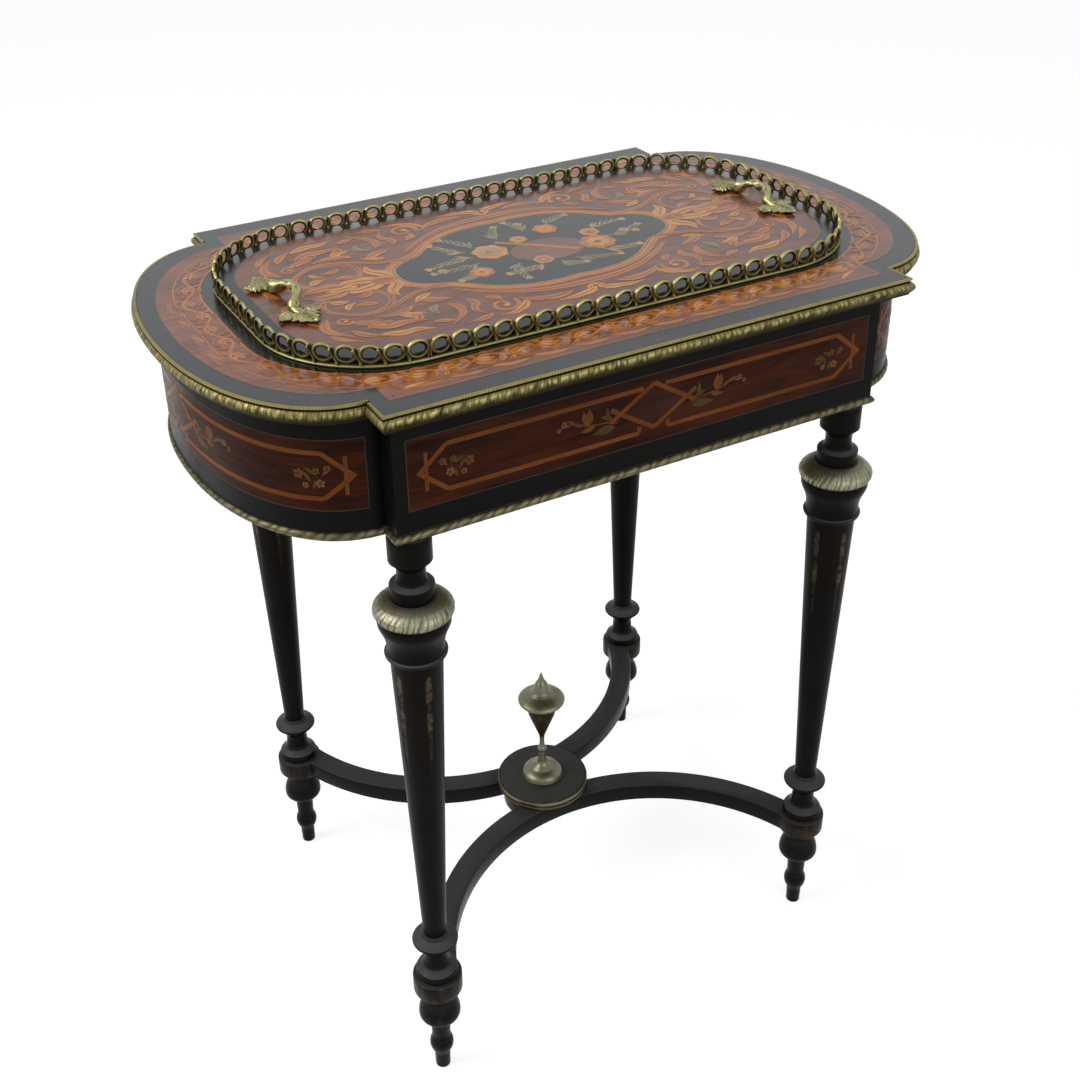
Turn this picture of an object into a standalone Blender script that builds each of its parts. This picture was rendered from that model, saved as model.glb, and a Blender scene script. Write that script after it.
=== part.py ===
"""Work table in the Second Empire manner: a veneered well on four turned legs, with a lift-off tray top.

Metres, +Z up. The front faces -Y, the long way is X, and the origin is on the floor under the middle.
Every piece is a closed solid with its own object. Pieces that touch keep the gap SEAT between them.
"""

import math

import bmesh
import bpy
from mathutils import Vector

# Fits between pieces
SEAT = 0.0003               # gap where two pieces rest on or against each other
LID_PLAY = 0.0008           # room all round the lid in its recess
LINER_PLAY = 0.003          # room all round the liner in the well

# Plan of the top, measured at the outside of its brass moulding
BLOCK_HALF_LENGTH = 0.2507  # square middle part
BLOCK_HALF_DEPTH = 0.2198
BOW_REACH = 0.105           # how far each bowed end stands out past the middle part
TOP_NOTCH = 0.0298          # step from the middle part back to the bowed end
TOP_MOULDING_DEPTH = 0.005
BOW_FULLNESS = 2.15         # 2 is a plain ellipse, more is squarer
BOW_STEPS = 14              # facets round a bowed end

# Plan of the box under the top
OVERHANG_ENDS = 0.0163      # top moulding to the box, along X
OVERHANG_FRONT = 0.0235     # top moulding to the box, along Y
APRON_NOTCH = 0.0215
APRON_BOW_REACH = 0.1036
FACE_BOARD = 0.009          # front and back boards
BOW_BOARD = 0.014           # bent boards of the ends
POST_SIDE = 0.026           # square posts behind the corners
BASE_MOULDING_DEPTH = 0.0035
LEG_INSET = 0.017           # leg centre inside the corner of the box

# Heights, from the floor up
FOOT_HEIGHT = 0.1097
STRETCHER_THICKNESS = 0.020
LEG_LENGTH = 0.4937
BASE_THICKNESS = 0.0080
APRON_HEIGHT = 0.1011
TOP_THICKNESS = 0.0160
TOP_MOULDING_HEIGHT = 0.0150

# Lid and well
LID_MARGIN_FRONT = 0.0741   # lid edge inside the top moulding, along Y
LID_MARGIN_ENDS = 0.0810    # lid edge inside the top moulding, along X
LID_CORNER = 0.0977
LID_THICKNESS = 0.0160
LID_PROUD = 0.0073          # lid surface above the top
LEDGE_WIDTH = 0.012         # ledge that carries the lid
CORNER_STEPS = 5            # facets round a corner of the lid, recess or liner
LINER_WALL = 0.0015
LINER_HEAD_ROOM = 0.004     # liner rim below the lid

# Gallery round the lid
GALLERY_PLAY = 0.0008       # room between the lid's edge and the gallery's foot
GALLERY_PITCH = 0.0185      # one ring to the next, before rounding to a whole count
GALLERY_POST = 0.0073       # solid sheet between two openings
GALLERY_WIRE = 0.0024       # sheet above and below an opening
GALLERY_SHEET = 0.0020      # thickness of the pierced sheet
GALLERY_FOOT_WIDTH = 0.0040
GALLERY_FOOT_HEIGHT = 0.0032

# Lifting handles
HANDLE_INSET = 0.0347       # handle line inside the lid's end
HANDLE_SPAN = 0.114         # leaf tip to leaf tip
HANDLE_FEET = 0.0255        # foot centre from the middle of the handle
HANDLE_RISE = 0.0145        # crown of the arch above the lid
HANDLE_LEAN = 0.011         # sideways lean of the arch
HANDLE_ROD = 0.0034         # radius of the twig
HANDLE_LEAF = 0.0085        # half width of a leaf
LEAF_RISE = 0.0028          # half thickness of a leaf
LEAF_TIP = 0.0012           # half width of a leaf's tip
LEAF_SWAY_FRONT = 0.007     # sideways drift of the front leaf's tip
LEAF_SWAY_BACK = 0.006      # sideways drift of the back leaf's tip
HANDLE_FOOT_WIDTH = 0.0058  # half width of a foot
HANDLE_FOOT_RISE = 0.0045   # half height of a foot
SCREW_RADIUS = 0.0016
SCREW_HEAD_RADIUS = 0.0034
SCREW_HEAD_HEIGHT = 0.0022
SCREW_GRIP = 0.0030         # screw length inside a handle's foot

# Legs
LEG_SEGMENTS = 12
FILLET = 0.001              # small step beside a turned bead
TORUS_HEIGHT = 0.026
TORUS_RADIUS = 0.0222
LOWER_NECK_HEIGHT = 0.012
LOWER_NECK_RADIUS = 0.0095
RING_HEIGHT = 0.016
RING_RADIUS = 0.0213
SHAFT_FOOT_RADIUS = 0.0108
SHAFT_HEAD_RADIUS = 0.0215
ASTRAGAL_HEIGHT = 0.012
ASTRAGAL_RADIUS = 0.0268
FRIEZE_HEIGHT = 0.0124
FRIEZE_RADIUS = 0.0245
CUP_HEIGHT = 0.011
CUP_RADIUS = 0.0310
COLLAR_HEIGHT = 0.025
COLLAR_RADIUS = 0.0339
COLLAR_BORE = 0.0198
COLLAR_LIP = 0.0050         # width of its upper edge
DRUM_HEIGHT = 0.018
DRUM_RADIUS = 0.0189
UPPER_NECK_HEIGHT = 0.025
UPPER_NECK_RADIUS = 0.0114
LEG_BLOCK_HEIGHT = 0.0187
LEG_BLOCK_RADIUS = 0.0185
TENON_RADIUS = 0.0070
TENON_LENGTH = 0.035
DOWEL_RADIUS = 0.0055
DOWEL_GRIP = 0.022          # dowel length inside the leg

# Feet
FOOT_SEGMENTS = 10
TOE_HEIGHT = 0.0240
TOE_RADIUS = 0.0077
TOE_PAD_RADIUS = 0.0055     # flat that stands on the floor
ANKLE_HEIGHT = 0.0140
ANKLE_RADIUS = 0.0113
FOOT_NECK_HEIGHT = 0.0080
BULB_RADIUS = 0.0197
FOOT_NECK_RADIUS = 0.0088
FOOT_CAP_FLARE = 0.0132      # height of the cone under the cap
FOOT_CAP_HEIGHT = 0.0085
FOOT_CAP_RADIUS = 0.0175

# Stretcher, hub and finial
STRETCHER_WIDTH = 0.0235
STRETCHER_APEX = 0.029      # middle of each bow from the middle of the table
STRETCHER_INSET = 0.009     # middle of the bar inside the leg, where they meet
STRETCHER_PAD_RADIUS = 0.0235
STRETCHER_STEPS = 14
HUB_RADIUS = 0.0465
HUB_HEIGHT = 0.0110
HUB_BLOCK_RADIUS = 0.0430    # round ends of the block between the bows
HUB_RING_DEPTH = 0.0025
HUB_RING_HEIGHT = 0.0070
HUB_SEGMENTS = 16
ROD_RADIUS = 0.0020
NUT_RADIUS = 0.0055
NUT_HEIGHT = 0.0045
FINIAL_SEGMENTS = 10
DOME_HEIGHT = 0.019
DOME_RADIUS = 0.0224
STEM_HEIGHT = 0.034
STEM_RADIUS = 0.0034
KNOP_RADIUS = 0.0075
CUP_WALL_HEIGHT = 0.043
URN_MOUTH_RADIUS = 0.0150
COVER_RADIUS = 0.0250
COVER_HEIGHT = 0.012
SPIRE_HEIGHT = 0.030
SPIRE_RADIUS = 0.0048
SPIGOT_HEIGHT = 0.0035      # peg of the cover in the cup

# Small joinery
CLEAT_SIDE = 0.016          # square glue strips between the box and the top

# Colour, roughness and metallic value of each finish
FINISHES = {
    "ebonised": ((0.012, 0.011, 0.011), 0.22, 0.0),
    "rosewood": ((0.140, 0.045, 0.022), 0.25, 0.0),
    "marquetry": ((0.330, 0.130, 0.050), 0.25, 0.0),
    "poplar": ((0.420, 0.300, 0.170), 0.65, 0.0),
    "brass": ((0.420, 0.340, 0.130), 0.35, 1.0),
    "zinc": ((0.420, 0.440, 0.450), 0.55, 1.0),
    "steel": ((0.300, 0.290, 0.280), 0.45, 1.0),
}

# Places worked out from the sizes above
STRETCHER_BOTTOM = FOOT_HEIGHT + SEAT
STRETCHER_TOP = STRETCHER_BOTTOM + STRETCHER_THICKNESS
LEG_BOTTOM = STRETCHER_TOP + SEAT
BASE_BOTTOM = LEG_BOTTOM + LEG_LENGTH + SEAT
BASE_TOP = BASE_BOTTOM + BASE_THICKNESS
APRON_BOTTOM = BASE_TOP + SEAT
APRON_TOP = APRON_BOTTOM + APRON_HEIGHT
TOP_BOTTOM = APRON_TOP + SEAT
TOP_SURFACE = TOP_BOTTOM + TOP_THICKNESS
LID_SURFACE = TOP_SURFACE + LID_PROUD
LID_BOTTOM = LID_SURFACE - LID_THICKNESS
LEDGE_SURFACE = LID_BOTTOM - SEAT
APRON_HALF_LENGTH = BLOCK_HALF_LENGTH - OVERHANG_ENDS
APRON_HALF_DEPTH = BLOCK_HALF_DEPTH - OVERHANG_FRONT
LEG_X = APRON_HALF_LENGTH - LEG_INSET
LEG_Y = APRON_HALF_DEPTH - LEG_INSET
LID_HALF_LENGTH = BLOCK_HALF_LENGTH + BOW_REACH - LID_MARGIN_ENDS
LID_HALF_DEPTH = BLOCK_HALF_DEPTH - LID_MARGIN_FRONT
HUB_BOTTOM = STRETCHER_TOP + SEAT
HUB_TOP = HUB_BOTTOM + HUB_HEIGHT
GALLERY_OFFSET = GALLERY_PLAY + GALLERY_FOOT_WIDTH / 2
CORNERS = {"front_left": (-1, -1), "front_right": (1, -1), "back_left": (-1, 1), "back_right": (1, 1)}


class Shape:
    """A mesh put together from closed loops of points, the walls between loops and flat fills."""

    def __init__(self):
        self.mesh = bmesh.new()

    def loop(self, points):
        """Adds a row of points and returns its vertices."""
        return [self.mesh.verts.new(point) for point in points]

    def wall(self, first, second, closed=True):
        """Joins two rows of equally many points with four-sided faces."""
        last = len(first) if closed else len(first) - 1
        for i in range(last):
            j = (i + 1) % len(first)
            self.mesh.faces.new((first[i], first[j], second[j], second[i]))

    def fan(self, ring, tip):
        """Closes a ring with triangles to one point."""
        for i in range(len(ring)):
            self.mesh.faces.new((ring[i], ring[(i + 1) % len(ring)], tip))

    def fill(self, *rings):
        """Fills a flat outline, the first ring, and leaves the other rings open as holes."""
        edges = []
        for ring in rings:
            for i in range(len(ring)):
                pair = (ring[i], ring[(i + 1) % len(ring)])
                edges.append(self.mesh.edges.get(pair) or self.mesh.edges.new(pair))
        bmesh.ops.triangle_fill(self.mesh, use_beauty=True, edges=edges)

    def to_mesh(self, name):
        """Turns every face outwards and returns the finished mesh."""
        bmesh.ops.recalc_face_normals(self.mesh, faces=self.mesh.faces)
        mesh = bpy.data.meshes.new(name)
        self.mesh.to_mesh(mesh)
        self.mesh.free()
        mesh.shade_smooth()
        mesh.set_sharp_from_angle(angle=math.radians(38))
        return mesh


def add_part(name, mesh, finish, location=(0, 0, 0), parent=None):
    """Makes one named object with its own material, placed by its location under its parent."""
    colour, roughness, metallic = FINISHES[finish]
    material = bpy.data.materials.new(f"{name}_{finish}")
    material.use_nodes = True
    shader = material.node_tree.nodes["Principled BSDF"]
    shader.inputs["Base Color"].default_value = (*colour, 1)
    shader.inputs["Roughness"].default_value = roughness
    shader.inputs["Metallic"].default_value = metallic
    part = bpy.data.objects.new(name, mesh)
    bpy.context.scene.collection.objects.link(part)
    part.location = location
    part.parent = parent
    if not mesh.materials:
        mesh.materials.append(None)
    part.material_slots[0].link = "OBJECT"
    part.material_slots[0].material = material
    return part


# Outlines

def circle(radius, z, segments, centre=(0, 0)):
    """A ring of points at one height."""
    turns = [2 * math.pi * i / segments for i in range(segments)]
    return [(centre[0] + radius * math.cos(t), centre[1] + radius * math.sin(t), z) for t in turns]


def at_height(outline, z):
    """Lifts a flat outline to one height."""
    return [(x, y, z) for x, y in outline]


def bow(side, centre_x, reach, half_depth, steps=BOW_STEPS):
    """Half a superellipse round one end, from the front to the back; side is +1 for the right end."""
    power = 2 / BOW_FULLNESS
    points = []
    for i in range(steps + 1):
        t = math.pi * (i / steps - 0.5)
        out = abs(math.cos(t)) ** power
        along = math.copysign(abs(math.sin(t)) ** power, math.sin(t))
        points.append((side * (centre_x + reach * out), half_depth * along))
    return points


def block_and_bows(half_length, half_depth, reach, notch, inset=0.0):
    """Outline of the middle block with a bowed end at each side, taken in all round by inset."""
    x = half_length - inset
    y = half_depth - inset
    bow_y = half_depth - notch - inset
    right = bow(1, x, reach, bow_y)
    left = bow(-1, x, reach, bow_y)
    return [(-x, -y), (x, -y)] + right + [(x, y), (-x, y)] + left[::-1]


def top_outline(inset):
    return block_and_bows(BLOCK_HALF_LENGTH, BLOCK_HALF_DEPTH, BOW_REACH, TOP_NOTCH, inset)


def apron_outline(inset):
    return block_and_bows(APRON_HALF_LENGTH, APRON_HALF_DEPTH, APRON_BOW_REACH, APRON_NOTCH, inset)


def lid_outline(inset):
    """Rounded rectangle of the lid, taken in by inset, with quarter circles at its corners."""
    half_length = LID_HALF_LENGTH - inset
    half_depth = LID_HALF_DEPTH - inset
    radius = LID_CORNER - inset
    points = []
    for quarter, (sx, sy) in enumerate([(1, 1), (-1, 1), (-1, -1), (1, -1)]):
        for i in range(CORNER_STEPS + 1):
            t = math.pi / 2 * (quarter + i / CORNER_STEPS)
            x = sx * (half_length - radius) + radius * math.cos(t)
            y = sy * (half_depth - radius) + radius * math.sin(t)
            points.append((x, y))
    return points


def bead(base, height, side, crown, steps=3):
    """A rounded bump on a turning: half an ellipse from base up to base + height, as (radius, height),
    with its widest points on the crown."""
    turns = [math.pi * i / steps for i in range(steps + 1)]
    swell = (crown - side) / max(math.sin(t) for t in turns)
    return [(side + swell * math.sin(t), base + height * (1 - math.cos(t)) / 2) for t in turns]


def smooth_path(knots, steps):
    """Points on a smooth curve through the knots (Catmull-Rom), with equally many in each stretch."""
    ends = [2 * knots[0] - knots[1]] + knots + [2 * knots[-1] - knots[-2]]
    points = []
    for a, b, c, d in zip(ends, ends[1:], ends[2:], ends[3:]):
        for i in range(steps):
            t = i / steps
            bent = (2 * a - 5 * b + 4 * c - d) * t * t + (3 * b - a - 3 * c + d) * t ** 3
            points.append(b + ((c - a) * t + bent) / 2)
    return points + [knots[-1]]


# Ways to make a solid

def turned(name, profile, segments):
    """Turns a profile of (radius, height) round Z. A profile that ends on the axis closes there in a point,
    and any other profile closes on itself as a ring."""
    shape = Shape()
    rings = []
    for radius, height in profile:
        on_axis = radius == 0
        rings.append(shape.loop([(0, 0, height)] if on_axis else circle(radius, height, segments)))
    closed = len(rings[0]) > 1
    pairs = list(zip(rings, rings[1:])) + ([(rings[-1], rings[0])] if closed else [])
    for lower, upper in pairs:
        if len(lower) == 1:
            shape.fan(upper, lower[0])
        elif len(upper) == 1:
            shape.fan(lower, upper[0])
        else:
            shape.wall(lower, upper)
    return shape.to_mesh(name)


def board(name, outline, bottom, top, holes=()):
    """A flat board of one outline with straight holes through it."""
    shape = Shape()
    lows = [shape.loop(at_height(edge, bottom)) for edge in (outline, *holes)]
    highs = [shape.loop(at_height(edge, top)) for edge in (outline, *holes)]
    for low, high in zip(lows, highs):
        shape.wall(low, high)
    shape.fill(*lows)
    shape.fill(*highs)
    return shape.to_mesh(name)


def strip(name, rows):
    """A moulding: each row is one edge of its section carried along the whole length."""
    shape = Shape()
    edges = [shape.loop(row) for row in rows]
    for first, second in zip(edges, edges[1:] + edges[:1]):
        shape.wall(first, second, closed=False)
    shape.fill([edge[0] for edge in edges])
    shape.fill([edge[-1] for edge in edges])
    return shape.to_mesh(name)


def box_loops(shape, low, high):
    """Adds a closed box to a shape."""
    corners = [(low[0], low[1]), (high[0], low[1]), (high[0], high[1]), (low[0], high[1])]
    lower = shape.loop(at_height(corners, low[2]))
    upper = shape.loop(at_height(corners, high[2]))
    shape.wall(lower, upper)
    shape.fill(lower)
    shape.fill(upper)


def bore_radius(peg_radius, segments):
    """Corner radius of a faceted hole whose flats stay clear of a round peg."""
    return (peg_radius + SEAT) / math.cos(math.pi / segments)


def round_hole(peg_radius, centre, segments=10):
    """Flat outline of a hole drilled for a round peg."""
    return [(x, y) for x, y, z in circle(bore_radius(peg_radius, segments), 0, segments, centre)]


# Top, box and well

def moulding_section(depth, bottom, height):
    """Section of the top moulding as (inset, height): a small fillet, a swelling face and a lower lip."""
    swell = 0.30 * depth
    return [
        (0.0, bottom + 0.86 * height),
        (0.0, bottom + height),
        (depth, bottom + height),
        (depth, bottom),
        (0.75 * depth, bottom),
        (swell, bottom + 0.30 * height),
        (swell, bottom + 0.70 * height),
    ]


def base_section(depth, bottom, height):
    """Section of the lower moulding as (inset, height): a half-round bead with flat sides."""
    return [
        (depth, bottom),
        (0.4 * depth, bottom),
        (0.0, bottom + 0.30 * height),
        (0.0, bottom + 0.70 * height),
        (0.4 * depth, bottom + height),
        (depth, bottom + height),
    ]


def add_mouldings(prefix, section, half_length, half_depth, reach, notch):
    """Four mouldings round a block with bowed ends: front and back turn back at the notches."""
    for side, y_sign in (("front", -1), ("back", 1)):
        rows = []
        for inset, z in section:
            x = half_length - inset
            y = y_sign * (half_depth - inset)
            end_y = y_sign * (half_depth - notch + SEAT)
            rows.append([(-x, end_y, z), (-x, y, z), (x, y, z), (x, end_y, z)])
        name = f"{prefix}_{side}"
        add_part(name, strip(name, rows), "brass")
    for side, x_sign in (("left", -1), ("right", 1)):
        rows = []
        for inset, z in section:
            rows.append(at_height(bow(x_sign, half_length - inset, reach, half_depth - notch - inset), z))
        name = f"{prefix}_{side}"
        add_part(name, strip(name, rows), "brass")


def add_top():
    """Top board: a recess for the lid, a ledge under it and the well's mouth through the middle."""
    outline = top_outline(TOP_MOULDING_DEPTH + SEAT)
    recess = lid_outline(-LID_PLAY)
    mouth = lid_outline(LEDGE_WIDTH)
    shape = Shape()
    under = shape.loop(at_height(outline, TOP_BOTTOM))
    over = shape.loop(at_height(outline, TOP_SURFACE))
    recess_top = shape.loop(at_height(recess, TOP_SURFACE))
    recess_floor = shape.loop(at_height(recess, LEDGE_SURFACE))
    mouth_top = shape.loop(at_height(mouth, LEDGE_SURFACE))
    mouth_under = shape.loop(at_height(mouth, TOP_BOTTOM))
    shape.wall(under, over)
    shape.fill(over, recess_top)
    shape.wall(recess_top, recess_floor)
    shape.wall(recess_floor, mouth_top)
    shape.wall(mouth_top, mouth_under)
    shape.fill(under, mouth_under)
    add_part("top_board", shape.to_mesh("top_board"), "marquetry")
    section = moulding_section(TOP_MOULDING_DEPTH, TOP_SURFACE - TOP_MOULDING_HEIGHT, TOP_MOULDING_HEIGHT)
    add_mouldings("top_moulding", section, BLOCK_HALF_LENGTH, BLOCK_HALF_DEPTH, BOW_REACH, TOP_NOTCH)


def add_box():
    """Front and back boards, bent end boards, corner posts, base board and its moulding."""
    board_y = APRON_HALF_DEPTH - FACE_BOARD
    for side, sign in (("front", -1), ("back", 1)):
        low_y, high_y = sorted((sign * board_y, sign * APRON_HALF_DEPTH))
        shape = Shape()
        box_loops(shape, (-APRON_HALF_LENGTH, low_y, APRON_BOTTOM), (APRON_HALF_LENGTH, high_y, APRON_TOP))
        name = f"apron_{side}"
        add_part(name, shape.to_mesh(name), "rosewood")
    bow_half_depth = APRON_HALF_DEPTH - APRON_NOTCH
    for side, sign in (("left", -1), ("right", 1)):
        outer = bow(sign, APRON_HALF_LENGTH + SEAT, APRON_BOW_REACH, bow_half_depth)
        inner = bow(sign, APRON_HALF_LENGTH + SEAT, APRON_BOW_REACH - BOW_BOARD, bow_half_depth - BOW_BOARD)
        name = f"apron_{side}"
        add_part(name, board(name, outer + inner[::-1], APRON_BOTTOM, APRON_TOP), "rosewood")
    post_y = board_y - SEAT
    bore_top = BASE_BOTTOM + TENON_LENGTH + SEAT
    for corner, (sx, sy) in CORNERS.items():
        low_x, high_x = sorted((sx * (APRON_HALF_LENGTH - POST_SIDE), sx * APRON_HALF_LENGTH))
        low_y, high_y = sorted((sy * (post_y - POST_SIDE), sy * post_y))
        square = [(low_x, low_y), (high_x, low_y), (high_x, high_y), (low_x, high_y)]
        hole = round_hole(TENON_RADIUS, (sx * LEG_X, sy * LEG_Y))
        shape = Shape()
        under = shape.loop(at_height(square, APRON_BOTTOM))
        over = shape.loop(at_height(square, APRON_TOP))
        bore_mouth = shape.loop(at_height(hole, APRON_BOTTOM))
        bore_end = shape.loop(at_height(hole, bore_top))
        shape.wall(under, over)
        shape.wall(bore_mouth, bore_end)
        shape.fill(under, bore_mouth)
        shape.fill(bore_end)
        shape.fill(over)
        name = f"corner_post_{corner}"
        add_part(name, shape.to_mesh(name), "ebonised")
    holes = [round_hole(TENON_RADIUS, (sx * LEG_X, sy * LEG_Y)) for sx, sy in CORNERS.values()]
    base = board("base_board", apron_outline(SEAT), BASE_BOTTOM, BASE_TOP, holes)
    add_part("base_board", base, "poplar")
    depth = BASE_MOULDING_DEPTH
    section = base_section(depth, BASE_BOTTOM, BASE_THICKNESS)
    add_mouldings("base_moulding", section, APRON_HALF_LENGTH + depth, APRON_HALF_DEPTH + depth,
                  APRON_BOW_REACH, APRON_NOTCH)
    cleat_y = board_y - SEAT
    cleat_top = TOP_BOTTOM - SEAT
    cleat_x = APRON_HALF_LENGTH - POST_SIDE - SEAT
    for side, sign in (("front", -1), ("back", 1)):
        low_y, high_y = sorted((sign * (cleat_y - CLEAT_SIDE), sign * cleat_y))
        shape = Shape()
        box_loops(shape, (-cleat_x, low_y, cleat_top - CLEAT_SIDE), (cleat_x, high_y, cleat_top))
        name = f"glue_cleat_{side}"
        add_part(name, shape.to_mesh(name), "poplar")


def add_liner():
    """Zinc liner: a thin open tub that stands on the base board and lifts out through the well's mouth."""
    outer = lid_outline(LEDGE_WIDTH + LINER_PLAY)
    inner = lid_outline(LEDGE_WIDTH + LINER_PLAY + LINER_WALL)
    floor = BASE_TOP + SEAT
    rim = LID_BOTTOM - LINER_HEAD_ROOM
    shape = Shape()
    under = shape.loop(at_height(outer, floor))
    outer_rim = shape.loop(at_height(outer, rim))
    inner_rim = shape.loop(at_height(inner, rim))
    inner_floor = shape.loop(at_height(inner, floor + LINER_WALL))
    shape.wall(under, outer_rim)
    shape.wall(outer_rim, inner_rim)
    shape.wall(inner_rim, inner_floor)
    shape.fill(inner_floor)
    shape.fill(under)
    add_part("zinc_liner", shape.to_mesh("zinc_liner"), "zinc")


# Lid, gallery and handles

def handle_feet():
    """Name and middle of each handle's foot, where a screw comes up through the lid."""
    x = LID_HALF_LENGTH - HANDLE_INSET
    return {corner: (sx * x, sy * HANDLE_FEET) for corner, (sx, sy) in CORNERS.items()}


def add_lid(parent):
    """Lid panel, and the screws that hold its handles from below."""
    holes = [round_hole(SCREW_RADIUS, spot, 8) for spot in handle_feet().values()]
    panel = board("lid_panel", lid_outline(0), LID_BOTTOM, LID_SURFACE, holes)
    add_part("lid_panel", panel, "marquetry", parent=parent)
    shank = SEAT + LID_THICKNESS + SEAT + SCREW_GRIP
    screw = turned("handle_screw", [
        (0, -SCREW_HEAD_HEIGHT),
        (SCREW_HEAD_RADIUS, -SCREW_HEAD_HEIGHT),
        (SCREW_HEAD_RADIUS, 0),
        (SCREW_RADIUS, 0),
        (SCREW_RADIUS, shank),
        (0, shank),
    ], 8)
    for corner, spot in handle_feet().items():
        add_part(f"handle_screw_{corner}", screw, "steel", (*spot, LID_BOTTOM - SEAT), parent)


def gallery_line(distance):
    """Place and outward direction on the gallery's middle line, a rounded rectangle walked from the left end
    of the front run: (x, y, outward x, outward y)."""
    half_length = LID_HALF_LENGTH + GALLERY_OFFSET
    half_depth = LID_HALF_DEPTH + GALLERY_OFFSET
    radius = LID_CORNER + GALLERY_OFFSET
    long_run = 2 * (half_length - radius)
    short_run = 2 * (half_depth - radius)
    corner = math.pi / 2 * radius
    place = Vector((-(half_length - radius), -half_depth))
    heading = 0.0
    rest = distance
    for run in (long_run, short_run, long_run, short_run):
        along = Vector((math.cos(heading), math.sin(heading)))
        outward = Vector((along.y, -along.x))
        if rest <= run:
            spot = place + rest * along
            return spot.x, spot.y, outward.x, outward.y
        place = place + run * along
        rest -= run
        centre = place - radius * outward
        turn = min(rest, corner) / radius
        new_heading = heading + turn
        outward = Vector((math.sin(new_heading), -math.cos(new_heading)))
        if rest <= corner:
            spot = centre + radius * outward
            return spot.x, spot.y, outward.x, outward.y
        place = centre + radius * outward
        heading += math.pi / 2
        rest -= corner
    return place.x, place.y, outward.x, outward.y


def add_gallery_strip(name, start, length, parent):
    """One pierced strip round the lid's edge: a foot that stands on the top, and on it a sheet with a round
    hole and an arched crest to each ring."""
    count = max(2, round(length / GALLERY_PITCH))
    begin = start + SEAT / 2
    pitch = (length - SEAT) / count
    base = TOP_SURFACE + SEAT
    sheet_base = base + GALLERY_FOOT_HEIGHT
    opening = (pitch - GALLERY_POST) / 2
    ring = opening + GALLERY_WIRE
    centre_z = sheet_base + ring
    foot = GALLERY_FOOT_WIDTH / 2
    sheet = GALLERY_SHEET / 2
    shape = Shape()

    def point(along, out, z):
        x, y, nx, ny = gallery_line(along)
        return shape.mesh.verts.new((x + nx * out, y + ny * out, z))

    def station(along):
        levels = [(foot, base), (sheet, sheet_base), (sheet, centre_z)]
        return [[point(along, side * out, z) for out, z in levels] for side in (1, -1)]

    def cell(faces, left, right, along):
        """One ring between two stations; faces joins the two sides of the sheet."""
        middle = along + pitch / 2
        for side, sign in ((0, 1), (1, -1)):
            out = sign * sheet
            turns = [math.pi / 4 * i for i in range(8)]
            hole = [point(middle + opening * math.cos(t), out, centre_z + opening * math.sin(t))
                    for t in turns]
            arch = [point(middle + pitch / 2 * math.cos(t), out, centre_z + ring * math.sin(t))
                    for t in turns[1:4]]
            a, b = left[side], right[side]
            quads = [
                (a[0], b[0], b[1], a[1]),
                (hole[7], b[1], b[2], hole[0]), (hole[0], b[2], arch[0], hole[1]),
                (hole[1], arch[0], arch[1], hole[2]), (hole[2], arch[1], arch[2], hole[3]),
                (hole[3], arch[2], a[2], hole[4]), (hole[4], a[2], a[1], hole[5]),
                (hole[6], hole[5], a[1]), (hole[6], a[1], b[1]), (hole[6], b[1], hole[7]),
            ]
            for quad in quads:
                shape.mesh.faces.new(quad)
            faces[side] = (hole, [b[2], *arch, a[2]])
        shape.wall(faces[0][0], faces[1][0])
        shape.wall(faces[0][1], faces[1][1], closed=False)
        shape.mesh.faces.new((left[0][0], right[0][0], right[1][0], left[1][0]))

    stations = [station(begin + pitch * i) for i in range(count + 1)]
    for i in range(count):
        cell({}, stations[i], stations[i + 1], begin + pitch * i)
    for end in (stations[0], stations[-1]):
        shape.mesh.faces.new(end[0] + end[1][::-1])
    add_part(name, shape.to_mesh(name), "brass", parent=parent)


def add_gallery(parent):
    """Four pierced strips that meet where the straight runs turn into the rounded ends."""
    radius = LID_CORNER + GALLERY_OFFSET
    front = 2 * (LID_HALF_LENGTH - LID_CORNER)
    end = math.pi * radius + 2 * (LID_HALF_DEPTH - LID_CORNER)
    start = 0.0
    for name, length in (("front", front), ("right", end), ("back", front), ("left", end)):
        add_gallery_strip(f"gallery_{name}", start, length, parent)
        start += length


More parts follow.
